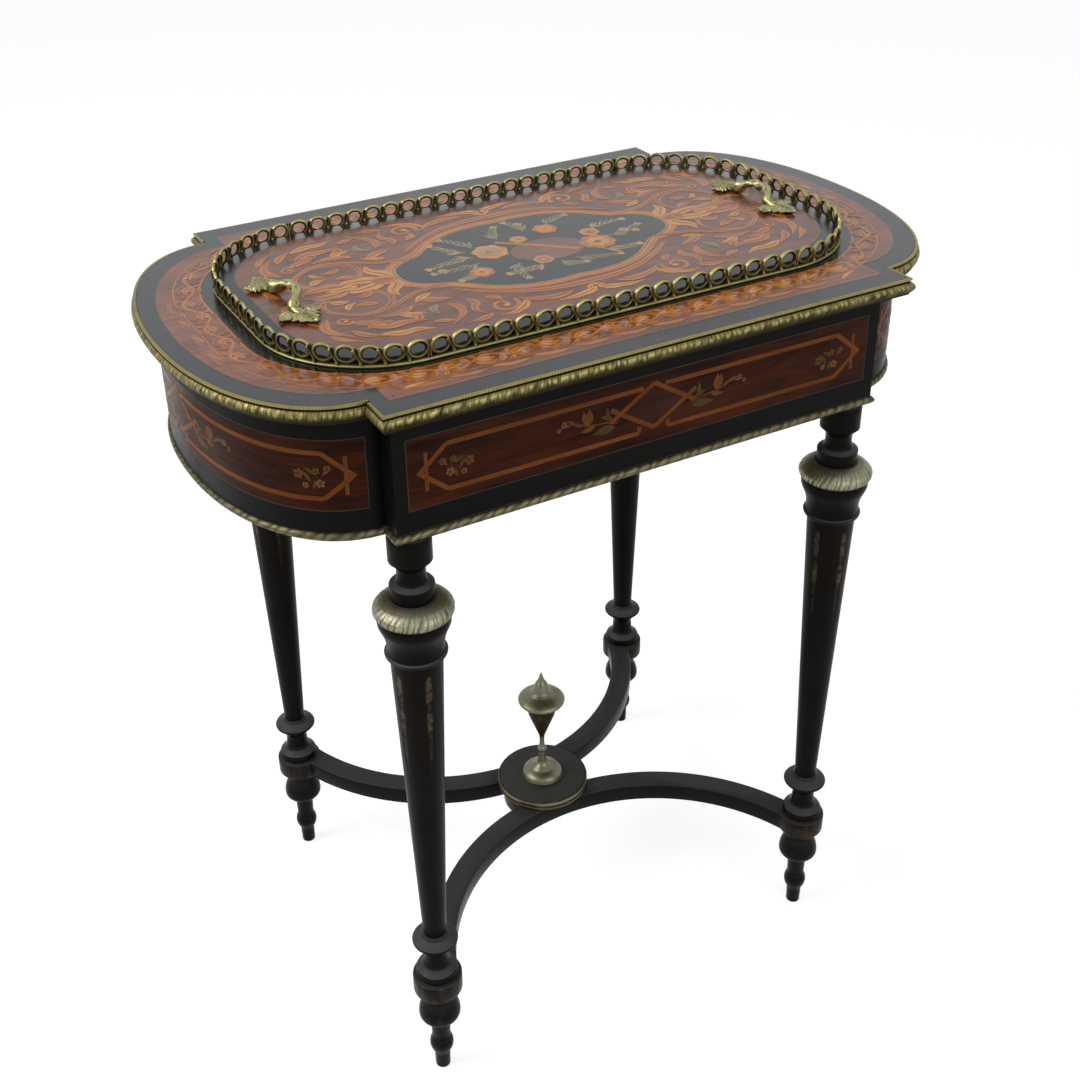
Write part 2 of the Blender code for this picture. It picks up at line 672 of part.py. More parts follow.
def add_handles(parent):
    """Cast twig handles: one swept rod that rises in an arch and spreads into a leaf at each end."""
    base = LID_SURFACE + SEAT
    tip_y = HANDLE_SPAN / 2
    leaf_y = (tip_y + HANDLE_FEET) / 2
    shoulder = Vector((0.7 * HANDLE_LEAN, 0.5 * HANDLE_FEET, 0.72 * HANDLE_RISE))
    knots = [
        Vector((LEAF_SWAY_BACK, tip_y, LEAF_TIP)),
        Vector((0.0, leaf_y, LEAF_RISE)),
        Vector((0.0, HANDLE_FEET, HANDLE_FOOT_RISE)),
        shoulder,
        Vector((HANDLE_LEAN, 0.0, HANDLE_RISE - HANDLE_ROD)),
        shoulder * Vector((1, -1, 1)),
        Vector((0.0, -HANDLE_FEET, HANDLE_FOOT_RISE)),
        Vector((0.3 * LEAF_SWAY_FRONT, -leaf_y, LEAF_RISE)),
        Vector((LEAF_SWAY_FRONT, -tip_y, LEAF_TIP)),
    ]
    rod = [HANDLE_ROD] * 3
    widths = [LEAF_TIP, HANDLE_LEAF, HANDLE_FOOT_WIDTH, *rod, HANDLE_FOOT_WIDTH, HANDLE_LEAF, LEAF_TIP]
    heights = [LEAF_TIP, LEAF_RISE, HANDLE_FOOT_RISE, *rod, HANDLE_FOOT_RISE, LEAF_RISE, LEAF_TIP]
    sizes = [Vector((w, h, 0)) for w, h in zip(widths, heights)]
    path = smooth_path(knots, 2)
    spread = smooth_path(sizes, 2)
    sides = 8
    for name, handle_x in (("handle_left", -1), ("handle_right", 1)):
        place = Vector((handle_x * (LID_HALF_LENGTH - HANDLE_INSET), 0, base))
        shape = Shape()
        rings = []
        for i, (spot, size) in enumerate(zip(path, spread)):
            along = (path[min(i + 1, len(path) - 1)] - path[max(i - 1, 0)]).normalized()
            across = along.cross(Vector((0, 0, 1))).normalized()
            above = across.cross(along).normalized()
            ring = []
            for k in range(sides):
                t = 2 * math.pi * k / sides
                corner = spot + across * size.x * math.cos(t) + above * size.y * math.sin(t)
                ring.append((corner.x, corner.y, max(corner.z, 0.0)))
            rings.append(shape.loop(ring))
        for lower, upper in zip(rings, rings[1:]):
            shape.wall(lower, upper)
        shape.fill(rings[0])
        shape.fill(rings[-1])
        handle = add_part(name, shape.to_mesh(name), "brass", place, parent)
        for end, sign in (("front", -1), ("back", 1)):
            drill = bpy.data.objects.new(f"{name}_{end}_drill", drill_mesh(f"{name}_{end}_drill"))
            bpy.context.scene.collection.objects.link(drill)
            drill.location = place + Vector((0, sign * HANDLE_FEET, 0))
            drill.parent = parent
            drill.hide_render = True
            drill.display_type = "WIRE"
            cut = handle.modifiers.new(f"{end} screw hole", "BOOLEAN")
            cut.operation = "DIFFERENCE"
            cut.solver = "EXACT"
            cut.object = drill


def drill_mesh(name):
    """A short rod that cuts a screw hole up into a handle's foot."""
    radius = bore_radius(SCREW_RADIUS, 8)
    below = -2 * SEAT
    depth = SCREW_GRIP + 2 * SEAT
    return turned(name, [(0, below), (radius, below), (radius, depth), (0, depth)], 8)


# Legs, collars and feet

def leg_profile():
    """Half section of a leg from the dowel hole in its foot to the tenon at its head, as (radius, height)."""
    bore = bore_radius(DOWEL_RADIUS, LEG_SEGMENTS)
    ring_base = TORUS_HEIGHT + LOWER_NECK_HEIGHT
    shaft_base = ring_base + RING_HEIGHT
    block_base = LEG_LENGTH - LEG_BLOCK_HEIGHT
    drum_base = block_base - UPPER_NECK_HEIGHT - DRUM_HEIGHT
    cup_top = drum_base - COLLAR_HEIGHT
    frieze_top = cup_top - CUP_HEIGHT
    frieze_base = frieze_top - FRIEZE_HEIGHT
    shaft_top = frieze_base - ASTRAGAL_HEIGHT
    neck_side = 0.25 * LOWER_NECK_HEIGHT
    upper_side = 0.25 * UPPER_NECK_HEIGHT
    profile = [(0, DOWEL_GRIP + SEAT), (bore, DOWEL_GRIP + SEAT), (bore, 0)]
    profile += bead(0, TORUS_HEIGHT, 0.80 * TORUS_RADIUS, TORUS_RADIUS)
    profile += [(LOWER_NECK_RADIUS, TORUS_HEIGHT + neck_side), (LOWER_NECK_RADIUS, ring_base - neck_side)]
    profile += bead(ring_base, RING_HEIGHT, SHAFT_FOOT_RADIUS + FILLET, RING_RADIUS)
    profile += [(SHAFT_FOOT_RADIUS, shaft_base + FILLET), (SHAFT_HEAD_RADIUS, shaft_top - FILLET)]
    profile += bead(shaft_top, ASTRAGAL_HEIGHT, SHAFT_HEAD_RADIUS + FILLET, ASTRAGAL_RADIUS)
    profile += [(FRIEZE_RADIUS, frieze_base + FILLET), (FRIEZE_RADIUS, frieze_top)]
    profile += [(CUP_RADIUS, cup_top - 0.3 * CUP_HEIGHT), (CUP_RADIUS, cup_top)]
    profile += [(COLLAR_BORE - SEAT, cup_top), (COLLAR_BORE - SEAT, drum_base)]
    profile += [(DRUM_RADIUS, drum_base + 0.2 * DRUM_HEIGHT), (DRUM_RADIUS, drum_base + DRUM_HEIGHT)]
    profile += [(UPPER_NECK_RADIUS, drum_base + DRUM_HEIGHT + upper_side)]
    profile += [(UPPER_NECK_RADIUS, block_base - upper_side), (LEG_BLOCK_RADIUS, block_base)]
    profile += [(LEG_BLOCK_RADIUS, LEG_LENGTH), (TENON_RADIUS, LEG_LENGTH)]
    tenon_top = LEG_LENGTH + SEAT + TENON_LENGTH
    return profile + [(TENON_RADIUS, tenon_top), (0, tenon_top)]


def collar_profile():
    """Section of the brass leaf collar that drops over the head of the leg onto its cup."""
    height = COLLAR_HEIGHT - SEAT
    return [
        (COLLAR_BORE, 0),
        (0.93 * COLLAR_RADIUS, 0),
        (COLLAR_RADIUS, 0.28 * height),
        (COLLAR_RADIUS, 0.48 * height),
        (0.90 * COLLAR_RADIUS, 0.74 * height),
        (COLLAR_BORE + COLLAR_LIP, height),
        (COLLAR_BORE, height),
    ]


def foot_profile():
    """Half section of a foot from the floor to the top of the dowel that holds stretcher and leg."""
    bulb_base = TOE_HEIGHT + ANKLE_HEIGHT + FOOT_NECK_HEIGHT
    cap_base = FOOT_HEIGHT - FOOT_CAP_HEIGHT
    bulb_top = cap_base - FOOT_CAP_FLARE
    profile = [(0, 0), (TOE_PAD_RADIUS, 0), (TOE_RADIUS, 0.2 * TOE_HEIGHT), (TOE_RADIUS, 0.85 * TOE_HEIGHT)]
    profile += bead(TOE_HEIGHT, ANKLE_HEIGHT, FOOT_NECK_RADIUS - FILLET, ANKLE_RADIUS)
    profile += bead(bulb_base, bulb_top - bulb_base, FOOT_NECK_RADIUS, BULB_RADIUS, 4)
    profile += [(0.72 * FOOT_CAP_RADIUS, 0.5 * (bulb_top + cap_base))]
    profile += [(FOOT_CAP_RADIUS, cap_base), (FOOT_CAP_RADIUS, FOOT_HEIGHT), (DOWEL_RADIUS, FOOT_HEIGHT)]
    dowel_top = LEG_BOTTOM + DOWEL_GRIP
    return profile + [(DOWEL_RADIUS, dowel_top), (0, dowel_top)]


def add_legs():
    """Four turned legs, each with its collar above and its foot below the stretcher."""
    leg = turned("leg", leg_profile(), LEG_SEGMENTS)
    collar = turned("leg_collar", collar_profile(), LEG_SEGMENTS)
    foot = turned("foot", foot_profile(), FOOT_SEGMENTS)
    above_collar = LEG_BLOCK_HEIGHT + UPPER_NECK_HEIGHT + DRUM_HEIGHT + COLLAR_HEIGHT
    collar_z = LEG_BOTTOM + LEG_LENGTH - above_collar + SEAT
    for corner, (sx, sy) in CORNERS.items():
        place = (sx * LEG_X, sy * LEG_Y)
        add_part(f"leg_{corner}", leg, "ebonised", (*place, LEG_BOTTOM))
        add_part(f"leg_collar_{corner}", collar, "brass", (*place, collar_z))
        add_part(f"foot_{corner}", foot, "ebonised", (*place, 0))


# Stretcher, hub and finial

def stretcher_arc():
    """Radius of a bow's middle line, and how far its centre lies from the middle of the table."""
    sagitta = LEG_Y - STRETCHER_APEX
    half_span = LEG_X - STRETCHER_INSET
    radius = (half_span ** 2 + sagitta ** 2) / (2 * sagitta)
    return radius, STRETCHER_APEX + radius


def hub_block_outline(steps=6):
    """Plan of the block between the bows: hollow sides that follow them, and round ends."""
    radius, centre_y = stretcher_arc()
    side = radius + STRETCHER_WIDTH / 2 + SEAT
    corner_y = (centre_y ** 2 + HUB_BLOCK_RADIUS ** 2 - side ** 2) / (2 * centre_y)
    half_side = math.acos((centre_y - corner_y) / side)
    half_end = math.asin(corner_y / HUB_BLOCK_RADIUS)
    points = []
    for sign in (1, -1):
        for i in range(steps + 1):
            t = half_end * (2 * i / steps - 1)
            points.append((sign * HUB_BLOCK_RADIUS * math.cos(t), sign * HUB_BLOCK_RADIUS * math.sin(t)))
        for i in range(1, steps):
            t = half_side * (1 - 2 * i / steps)
            points.append((sign * side * math.sin(t), sign * (centre_y - side * math.cos(t))))
    return points


def stretcher_outline(sign):
    """Plan of one bow: a circular bar from leg to leg through the apex, with a round pad under each leg."""
    radius, centre_y = stretcher_arc()
    sweep = math.atan2(LEG_X, centre_y - LEG_Y)
    reach = math.hypot(LEG_X, centre_y - LEG_Y)
    near = radius + STRETCHER_WIDTH / 2
    far = radius - STRETCHER_WIDTH / 2

    def pad_angle(edge):
        """Angle between the leg and the point where an edge of the bar runs into the pad."""
        cosine = (reach ** 2 + edge ** 2 - STRETCHER_PAD_RADIUS ** 2) / (2 * reach * edge)
        return math.acos(cosine)

    def on_arc(edge, angle):
        return edge * math.sin(angle), centre_y - edge * math.cos(angle)

    near_end = sweep - pad_angle(near)
    far_end = sweep - pad_angle(far)
    steps = STRETCHER_STEPS
    near_points = [on_arc(near, near_end * (2 * i / steps - 1)) for i in range(steps + 1)]
    far_points = [on_arc(far, far_end * (1 - 2 * i / steps)) for i in range(steps + 1)]
    points = near_points + pad_points((LEG_X, LEG_Y), near_points[-1], far_points[0])
    points += far_points + pad_points((-LEG_X, LEG_Y), far_points[-1], near_points[0])
    return [(x, sign * y) for x, y in points]


def pad_points(centre, first, last, steps=8):
    """Round end of a bow, counter-clockwise about its leg from one edge of the bar to the other."""
    start = math.atan2(first[1] - centre[1], first[0] - centre[0])
    end = math.atan2(last[1] - centre[1], last[0] - centre[0])
    end += 2 * math.pi if end < start else 0
    turns = [start + (end - start) * i / steps for i in range(1, steps)]
    radius = STRETCHER_PAD_RADIUS
    return [(centre[0] + radius * math.cos(t), centre[1] + radius * math.sin(t)) for t in turns]


def add_stretcher():
    """Two bows back to back, the block between them, the round hub on top and its brass ring."""
    for side, sign in (("front", -1), ("back", 1)):
        holes = [round_hole(DOWEL_RADIUS, (sx * LEG_X, sign * LEG_Y)) for sx in (-1, 1)]
        name = f"stretcher_{side}"
        bow_board = board(name, stretcher_outline(sign), STRETCHER_BOTTOM, STRETCHER_TOP, holes)
        add_part(name, bow_board, "ebonised")
    rod_hole = [round_hole(ROD_RADIUS, (0, 0))]
    block = board("hub_block", hub_block_outline(), STRETCHER_BOTTOM, STRETCHER_TOP, rod_hole)
    add_part("hub_block", block, "ebonised")
    bore = bore_radius(ROD_RADIUS, HUB_SEGMENTS)
    edge = HUB_RADIUS - FILLET
    hub = [(bore, 0), (edge, 0), (HUB_RADIUS, FILLET), (HUB_RADIUS, HUB_HEIGHT - FILLET), (edge, HUB_HEIGHT)]
    hub += [(bore, HUB_HEIGHT)]
    add_part("stretcher_hub", turned("stretcher_hub", hub, HUB_SEGMENTS), "ebonised", (0, 0, HUB_BOTTOM))
    inner = HUB_RADIUS + SEAT
    outer = inner + HUB_RING_DEPTH
    lip = inner + 0.4 * HUB_RING_DEPTH
    ring = [(inner, 0), (lip, 0), (outer, 0.3 * HUB_RING_HEIGHT), (outer, 0.7 * HUB_RING_HEIGHT)]
    ring += [(lip, HUB_RING_HEIGHT), (inner, HUB_RING_HEIGHT)]
    ring_z = HUB_BOTTOM + (HUB_HEIGHT - HUB_RING_HEIGHT) / 2
    add_part("hub_ring", turned("hub_ring", ring, HUB_SEGMENTS), "brass", (0, 0, ring_z))


def add_finial():
    """Brass urn on the hub: domed base, stem with cup, and spired cover, held by a rod and a nut below."""
    bore = bore_radius(ROD_RADIUS, FINIAL_SEGMENTS)
    base_z = HUB_TOP + SEAT
    plinth = 0.16 * DOME_HEIGHT
    swell = 0.65 * DOME_HEIGHT
    dome = [(bore, 0), (DOME_RADIUS, 0), (DOME_RADIUS, plinth)]
    for degrees in (5, 30, 52, 72):
        t = math.radians(degrees)
        dome.append(((DOME_RADIUS - FILLET) * math.cos(t), plinth + swell * math.sin(t)))
    dome += [(STEM_RADIUS + FILLET, DOME_HEIGHT), (bore, DOME_HEIGHT)]
    add_part("finial_base", turned("finial_base", dome, FINIAL_SEGMENTS), "brass", (0, 0, base_z))
    urn_z = base_z + DOME_HEIGHT + SEAT
    grip = 0.5 * STEM_HEIGHT
    socket = 0.4 * URN_MOUTH_RADIUS
    urn_top = STEM_HEIGHT + CUP_WALL_HEIGHT
    urn = [(0, grip), (bore, grip), (bore, 0), (STEM_RADIUS + FILLET, 0)]
    urn += [(STEM_RADIUS, 0.35 * STEM_HEIGHT)]
    urn += bead(0.40 * STEM_HEIGHT, 0.28 * STEM_HEIGHT, STEM_RADIUS, KNOP_RADIUS)
    urn += [(STEM_RADIUS, 0.80 * STEM_HEIGHT), (STEM_RADIUS, STEM_HEIGHT)]
    urn += [(0.62 * URN_MOUTH_RADIUS, STEM_HEIGHT + 0.45 * CUP_WALL_HEIGHT), (URN_MOUTH_RADIUS, urn_top)]
    socket_floor = urn_top - SPIGOT_HEIGHT
    socket_radius = bore_radius(socket, FINIAL_SEGMENTS)
    urn += [(socket_radius, urn_top), (socket_radius, socket_floor), (0, socket_floor)]
    add_part("finial_urn", turned("finial_urn", urn, FINIAL_SEGMENTS), "brass", (0, 0, urn_z))
    cover_z = urn_z + urn_top + SEAT
    cover = [(0, -SPIGOT_HEIGHT), (socket, -SPIGOT_HEIGHT), (socket, 0), (0.8 * URN_MOUTH_RADIUS, 0)]
    cover += [(COVER_RADIUS, 0.42 * COVER_HEIGHT), (COVER_RADIUS, 0.62 * COVER_HEIGHT)]
    cover += [(0.62 * COVER_RADIUS, COVER_HEIGHT)]
    for width, share in ((0.7, 0.18), (1.0, 0.36), (0.6, 0.6), (0, 1)):
        cover.append((width * SPIRE_RADIUS, COVER_HEIGHT + share * SPIRE_HEIGHT))
    add_part("finial_cover", turned("finial_cover", cover, FINIAL_SEGMENTS), "brass", (0, 0, cover_z))
    nut_z = STRETCHER_BOTTOM - SEAT - NUT_HEIGHT
    rod_top = urn_z + grip - SEAT
    rod = [(0, nut_z), (ROD_RADIUS, nut_z), (ROD_RADIUS, rod_top), (0, rod_top)]
    add_part("finial_rod", turned("finial_rod", rod, 8), "steel")
    thread = bore_radius(ROD_RADIUS, 6)
    nut = [(thread, 0), (NUT_RADIUS, 0), (NUT_RADIUS, NUT_HEIGHT), (thread, NUT_HEIGHT)]
    add_part("finial_nut", turned("finial_nut", nut, 6), "steel", (0, 0, nut_z))


def main():
    for old in list(bpy.data.objects):
        bpy.data.objects.remove(old)
    lid = bpy.data.objects.new("lid_lift", None)
    bpy.context.scene.collection.objects.link(lid)
    add_top()
    add_box()
    add_liner()
    add_lid(lid)
    add_gallery(lid)
    add_handles(lid)
    add_legs()
    add_stretcher()
    add_finial()


main()
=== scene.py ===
# %% [markdown]
# # Dressing a marquetry work table
#
# The table is ebonised wood with rosewood panels, inlaid flowers and scrolls, stamped brass mouldings and a
# pierced brass gallery round a tray that lifts off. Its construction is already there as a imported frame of
# plain solids at their real size. This lesson dresses that frame: every step first says what a piece is on
# the real table, how it could be made, and why it is made this way here.

# %% Load the frame
import math

import bmesh
import bpy
import numpy as np
from mathutils import Matrix, Vector


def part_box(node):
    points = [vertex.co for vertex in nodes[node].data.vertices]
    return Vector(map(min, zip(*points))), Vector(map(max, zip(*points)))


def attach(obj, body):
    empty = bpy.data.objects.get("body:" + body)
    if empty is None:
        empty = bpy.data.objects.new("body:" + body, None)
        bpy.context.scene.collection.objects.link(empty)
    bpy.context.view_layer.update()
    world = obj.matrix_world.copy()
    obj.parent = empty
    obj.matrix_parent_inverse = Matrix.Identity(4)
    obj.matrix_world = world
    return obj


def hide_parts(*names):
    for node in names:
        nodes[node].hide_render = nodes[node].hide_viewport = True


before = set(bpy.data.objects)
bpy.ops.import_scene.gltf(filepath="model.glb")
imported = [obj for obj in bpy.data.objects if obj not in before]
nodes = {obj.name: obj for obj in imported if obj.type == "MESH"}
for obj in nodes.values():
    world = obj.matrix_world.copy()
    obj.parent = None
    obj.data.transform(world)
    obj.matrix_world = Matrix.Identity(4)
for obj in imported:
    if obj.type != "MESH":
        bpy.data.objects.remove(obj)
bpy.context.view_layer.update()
TABLE = "table"
LID = "lid"

# %% [markdown]
# ## Meshes from whole arrays
#
# A turned leg, a moulding and a strip of veneer are all grids: rows of points joined by four-sided faces.
# Building them point by point in a loop is slow and hard to read, so numpy works out all the points at once
# and the mesh takes them in one go. A Shell gathers the closed forms of one piece. Beside each point it keeps
# two values for the finishes: where the point lies along the grain, and how high it stands in a relief. On
# some pieces that second value also carries painted shade and painted highlights.

# %% Grids and shells
MILLIMETRE = 0.001
PLAIN_RELIEF = 0.6


def grid_faces(rows, columns, wrap_rows=False):
    """Four-sided faces of a grid whose point (i, j) is number i * columns + j. Every row is a closed loop,
    and wrapped rows join the last one to the first."""
    i, j = np.meshgrid(np.arange(rows if wrap_rows else rows - 1), np.arange(columns), indexing="ij")
    below = (i + 1) % rows * columns
    beside = (j + 1) % columns
    quads = np.stack([i * columns + j, below + j, below + beside, i * columns + beside], -1)
    return quads.reshape(-1, 4)


def end_caps(rows, columns):
    """The two flat faces that close a tube of so many rows."""
    first = np.arange(columns)
    return np.stack([first, (rows - 1) * columns + first])


class Shell:
    """Points and faces of one piece, gathered from closed forms."""

    def __init__(self):
        self.points, self.grain, self.relief = [], [], []
        self.corners, self.sizes = [], []
        self.count = 0

    def add(self, points, *face_sets, grain=None, relief=PLAIN_RELIEF):
        """Adds a closed form; unless given, its grain is its place and its relief is plain."""
        flat = np.asarray(points, float).reshape(-1, 3)
        self.points.append(flat)
        self.grain.append(flat if grain is None else grain.reshape(-1, 3))
        self.relief.append(np.broadcast_to(relief, points.shape[:-1]).ravel())
        for faces in face_sets:
            self.corners.append(faces.ravel() + self.count)
            self.sizes.append(np.full(len(faces), faces.shape[1]))
        self.count += len(flat)

    def tube(self, rings, closed=False, **values):
        """Adds rows of rings, each a closed loop: a tube with flat ends, or a ring when closed."""
        rows, columns = rings.shape[:2]
        ends = [] if closed else [end_caps(rows, columns)]
        self.add(rings, grid_faces(rows, columns, closed), *ends, **values)
        return self

    def piece(self, name, body, slot, material, stands_for=(), sharp=40):
        """Puts the gathered forms into one mesh object that rides on a body."""
        corners = np.concatenate(self.corners)
        sizes = np.concatenate(self.sizes)
        mesh = bpy.data.meshes.new(name)
        mesh.vertices.add(self.count)
        mesh.vertices.foreach_set("co", np.concatenate(self.points).ravel())
        mesh.loops.add(len(corners))
        mesh.loops.foreach_set("vertex_index", corners)
        mesh.polygons.add(len(sizes))
        mesh.polygons.foreach_set("loop_start", np.cumsum(sizes) - sizes)
        mesh.update(calc_edges=True)
        grain = mesh.attributes.new("grain", "FLOAT_VECTOR", "POINT")
        grain.data.foreach_set("vector", np.concatenate(self.grain).ravel())
        relief = mesh.attributes.new("relief", "FLOAT", "POINT")
        relief.data.foreach_set("value", np.concatenate(self.relief))
        work = bmesh.new()
        work.from_mesh(mesh)
        bmesh.ops.recalc_face_normals(work, faces=work.faces)
        work.to_mesh(mesh)
        work.free()
        mesh.shade_smooth()
        mesh.set_sharp_from_angle(angle=math.radians(sharp))
        mesh.materials.append(material)
        piece = bpy.data.objects.new(name, mesh)
        bpy.context.scene.collection.objects.link(piece)
        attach(piece, body)
        if stands_for:
            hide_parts(*stands_for)
        print(f"{name}: {self.count} points, {len(sizes)} faces")


# %% [markdown]
# ## Outlines from the frame
#
# The top, the box under it and the tray are drawn with only two outlines: a block with a bowed end at each
# side, and a rectangle with round corners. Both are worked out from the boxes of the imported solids, so they
# can't drift away from the construction. The bow is a superellipse, a little squarer than an ellipse.

# %% Outlines
BOW_FULLNESS = 2.15


def bow_points(start_x, end_x, half_y, count):
    """Right-hand bow from front to back: x = start + reach * |cos t|^(2/n), y = half * |sin t|^(2/n)."""
    t = np.linspace(-math.pi / 2, math.pi / 2, count)
    power = 2 / BOW_FULLNESS
    x = start_x + (end_x - start_x) * np.abs(np.cos(t)) ** power
    y = half_y * np.sign(np.sin(t)) * np.abs(np.sin(t)) ** power
    return np.stack([x, y], -1)


def straight(first, last, count):
    """Evenly spaced points from one place to just before another."""
    share = np.linspace(0, 1, count, endpoint=False)[:, None]
    return np.asarray(first) + share * (np.asarray(last) - np.asarray(first))


def block_and_bows(block_x, block_y, bow_x, bow_y, count=90):
    """Closed outline of a block with bowed ends, counter-clockwise from its front left corner."""
    right = bow_points(block_x, bow_x, bow_y, count)
    half = np.concatenate([straight((-block_x, -block_y), (block_x, -block_y), count),
                           straight((block_x, -block_y), right[0], 6), right[:-1],
                           straight(right[-1], (block_x, block_y), 6)])
    return np.concatenate([half, -half])


def direction(angle):
    """Unit vectors at these angles: (cos, sin)."""
    return np.stack([np.cos(angle), np.sin(angle)], -1)


def full_turn(count):
    """Evenly spaced angles once round, the last one a step before the first."""
    return np.linspace(0, 2 * math.pi, count, endpoint=False)


def round_rectangle(half_x, half_y, radius, count=24):
    """Closed outline of a rectangle with quarter circles at its corners, counter-clockwise from the left end
    of its front run."""
    arc = radius * direction(np.linspace(-math.pi / 2, 0, count))
    centre = np.array([half_x - radius, half_y - radius])
    first = arc + centre * (1, -1)
    second = np.stack([-arc[:, 1], arc[:, 0]], -1) + centre
    half = np.concatenate([straight((-centre[0], -half_y), first[0], count), first[:-1],
                           straight(first[-1], second[0], count), second[:-1]])
    return np.concatenate([half, -half])


# %% [markdown]
# Outlines are then moved outwards, lifted to a height or matched with one another. A drawn curve, such as a
# scroll or a twig, is given by a few points, and a smooth curve goes through them as a bent batten would. A
# Bezier curve could do that too, but it needs handles that have to be placed by hand.

# %% Normals, heights and smooth curves
def outward(outline):
    """Unit normals of a closed counter-clockwise outline."""
    ahead = np.roll(outline, -1, 0) - np.roll(outline, 1, 0)
    ahead = ahead / np.linalg.norm(ahead, axis=1, keepdims=True)
    return np.stack([ahead[:, 1], -ahead[:, 0]], -1)


def same_angles(outline, inner):
    """Points of the inner outline in the same directions from the middle as those of the outer one."""
    angle = np.arctan2(inner[:, 1], inner[:, 0])
    radius = np.linalg.norm(inner, axis=1)
    wanted = np.arctan2(outline[:, 1], outline[:, 0])
    found = np.interp(wanted, *zip(*sorted(zip(angle, radius))), period=2 * math.pi)
    return found[:, None] * direction(wanted)


def loops_at(*loops):
    """Stacks flat outlines, each of them lifted to its own height."""
    return np.stack([np.column_stack([outline, np.full(len(outline), z)]) for outline, z in loops])


def smooth_curve(knots, count, closed=False):
    """Catmull-Rom curve through the knots: b + f/2 (c - a + f (2a - 5b + 4c - d + f (3b - 3c + d - a)))."""
    knots = np.asarray(knots, float)
    if closed:
        padded = np.concatenate([knots[-1:], knots, knots[:2]])
        place = np.linspace(0, len(knots), count, endpoint=False)
    else:
        padded = np.concatenate([2 * knots[:1] - knots[1:2], knots, 2 * knots[-1:] - knots[-2:-1]])
        place = np.linspace(0, len(knots) - 1, count)
    i = np.minimum(place.astype(int), len(padded) - 4)
    f = (place - i)[:, None]
    a, b, c, d = padded[i], padded[i + 1], padded[i + 2], padded[i + 3]
    return b + f / 2 * (c - a + f * (2 * a - 5 * b + 4 * c - d + f * (3 * b - 3 * c + d - a)))


# %% [markdown]
# A moulding, the gallery and an inlaid border all run along a line, so their places are easiest to give as a
# distance along it and a distance out from it. A Line answers for any number of places at once.

# %% Distances along a line
def run_along(points):
    """The distance from the start of a line to each of its points."""
    step = np.linalg.norm(np.diff(points, axis=0), axis=1)
    return np.concatenate([[0], np.cumsum(step)])


class Line:
    """A flat line that can be asked for its place and outward normal at any distance along it."""

    def __init__(self, points, closed=False):
        self.points = np.concatenate([points, points[:1]]) if closed else points
        self.closed = closed
        self.run = run_along(self.points)
        self.length = self.run[-1]
        ahead = np.gradient(self.points, axis=0)
        self.normals = np.stack([ahead[:, 1], -ahead[:, 0]], -1)
        self.normals /= np.linalg.norm(self.normals, axis=1, keepdims=True)

    def at(self, distance):
        """Places and unit normals at these distances; a closed line goes round again."""
        distance = np.mod(distance, self.length) if self.closed else np.clip(distance, 0, self.length)
        place = np.stack([np.interp(distance, self.run, self.points[:, k]) for k in (0, 1)], -1)
        normal = np.stack([np.interp(distance, self.run, self.normals[:, k]) for k in (0, 1)], -1)
        return place, normal / np.linalg.norm(normal, axis=-1, keepdims=True)


# %% Measures from the frame
top_low, top_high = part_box("top_board")
TOP_Z = top_high.z
BLOCK_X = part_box("top_moulding_front")[1].x
BLOCK_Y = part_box("top_moulding_back")[1].y
BOW_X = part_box("top_moulding_right")[1].x
BOW_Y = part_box("top_moulding_right")[1].y
LID_X, LID_Y, LID_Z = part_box("lid_panel")[1]
LID_CORNER = LID_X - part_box("gallery_front")[1].x
APRON_X, APRON_Y, APRON_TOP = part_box("apron_back")[1]
APRON_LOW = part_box("apron_back")[0].z
APRON_BOW_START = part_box("apron_right")[0].x
APRON_BOW_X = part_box("apron_right")[1].x
APRON_BOW_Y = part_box("apron_right")[1].y
apron_bow = Line(bow_points(APRON_BOW_START, APRON_BOW_X, APRON_BOW_Y, 1200))
print(f"top {2 * BOW_X:.3f} by {2 * BLOCK_Y:.3f} m, bowed end {apron_bow.length:.3f} m round")

# %% [markdown]
# ## Finishes as node groups
#
# Old French polish, veneer and brass share a few effects: a streaky figure along the grain, a polish that is
# hazier in some places than others, dirt that stays in the hollows of a casting. Each effect is a node group
# that puts out a colour, a roughness or a height, and every material places it with its own values. What is
# the same all over a surface, such as the coat of polish, is set on the shader itself.

# %% Node helpers
def add_node(tree, kind, inputs=None, **settings):
    """Adds a node, sets its options, and links or sets each named input."""
    made = tree.nodes.new(kind)
    for key, value in settings.items():
        setattr(made, key, value)
    for key, value in (inputs or {}).items():
        if isinstance(value, bpy.types.NodeSocket):
            tree.links.new(value, made.inputs[key])
        else:
            made.inputs[key].default_value = value
    return made


def new_group(name, inputs, outputs):
    """A shader node group with named sockets; returns its tree, its inputs and its output node."""
    tree = bpy.data.node_groups.new(name, "ShaderNodeTree")
    for label, kind, value in inputs:
        socket = tree.interface.new_socket(label, in_out="INPUT", socket_type=f"NodeSocket{kind}")
        if value is not None:
            socket.default_value = value
    for label, kind in outputs:
        tree.interface.new_socket(label, in_out="OUTPUT", socket_type=f"NodeSocket{kind}")
    return tree, tree.nodes.new("NodeGroupInput").outputs, tree.nodes.new("NodeGroupOutput")


def math_node(tree, operation, first, second=0.0, third=0.0, clamp=False):
    """One sum on up to three values."""
    return add_node(tree, "ShaderNodeMath", {0: first, 1: second, 2: third}, operation=operation,
                    use_clamp=clamp).outputs[0]


def noise(tree, vector, scale, detail=4.0, roughness=0.55, distortion=0.0):
    """Cloudy values about a half."""
    return add_node(tree, "ShaderNodeTexNoise",
                    {"Vector": vector, "Scale": scale, "Detail": detail, "Roughness": roughness,
                     "Distortion": distortion}).outputs["Fac"]


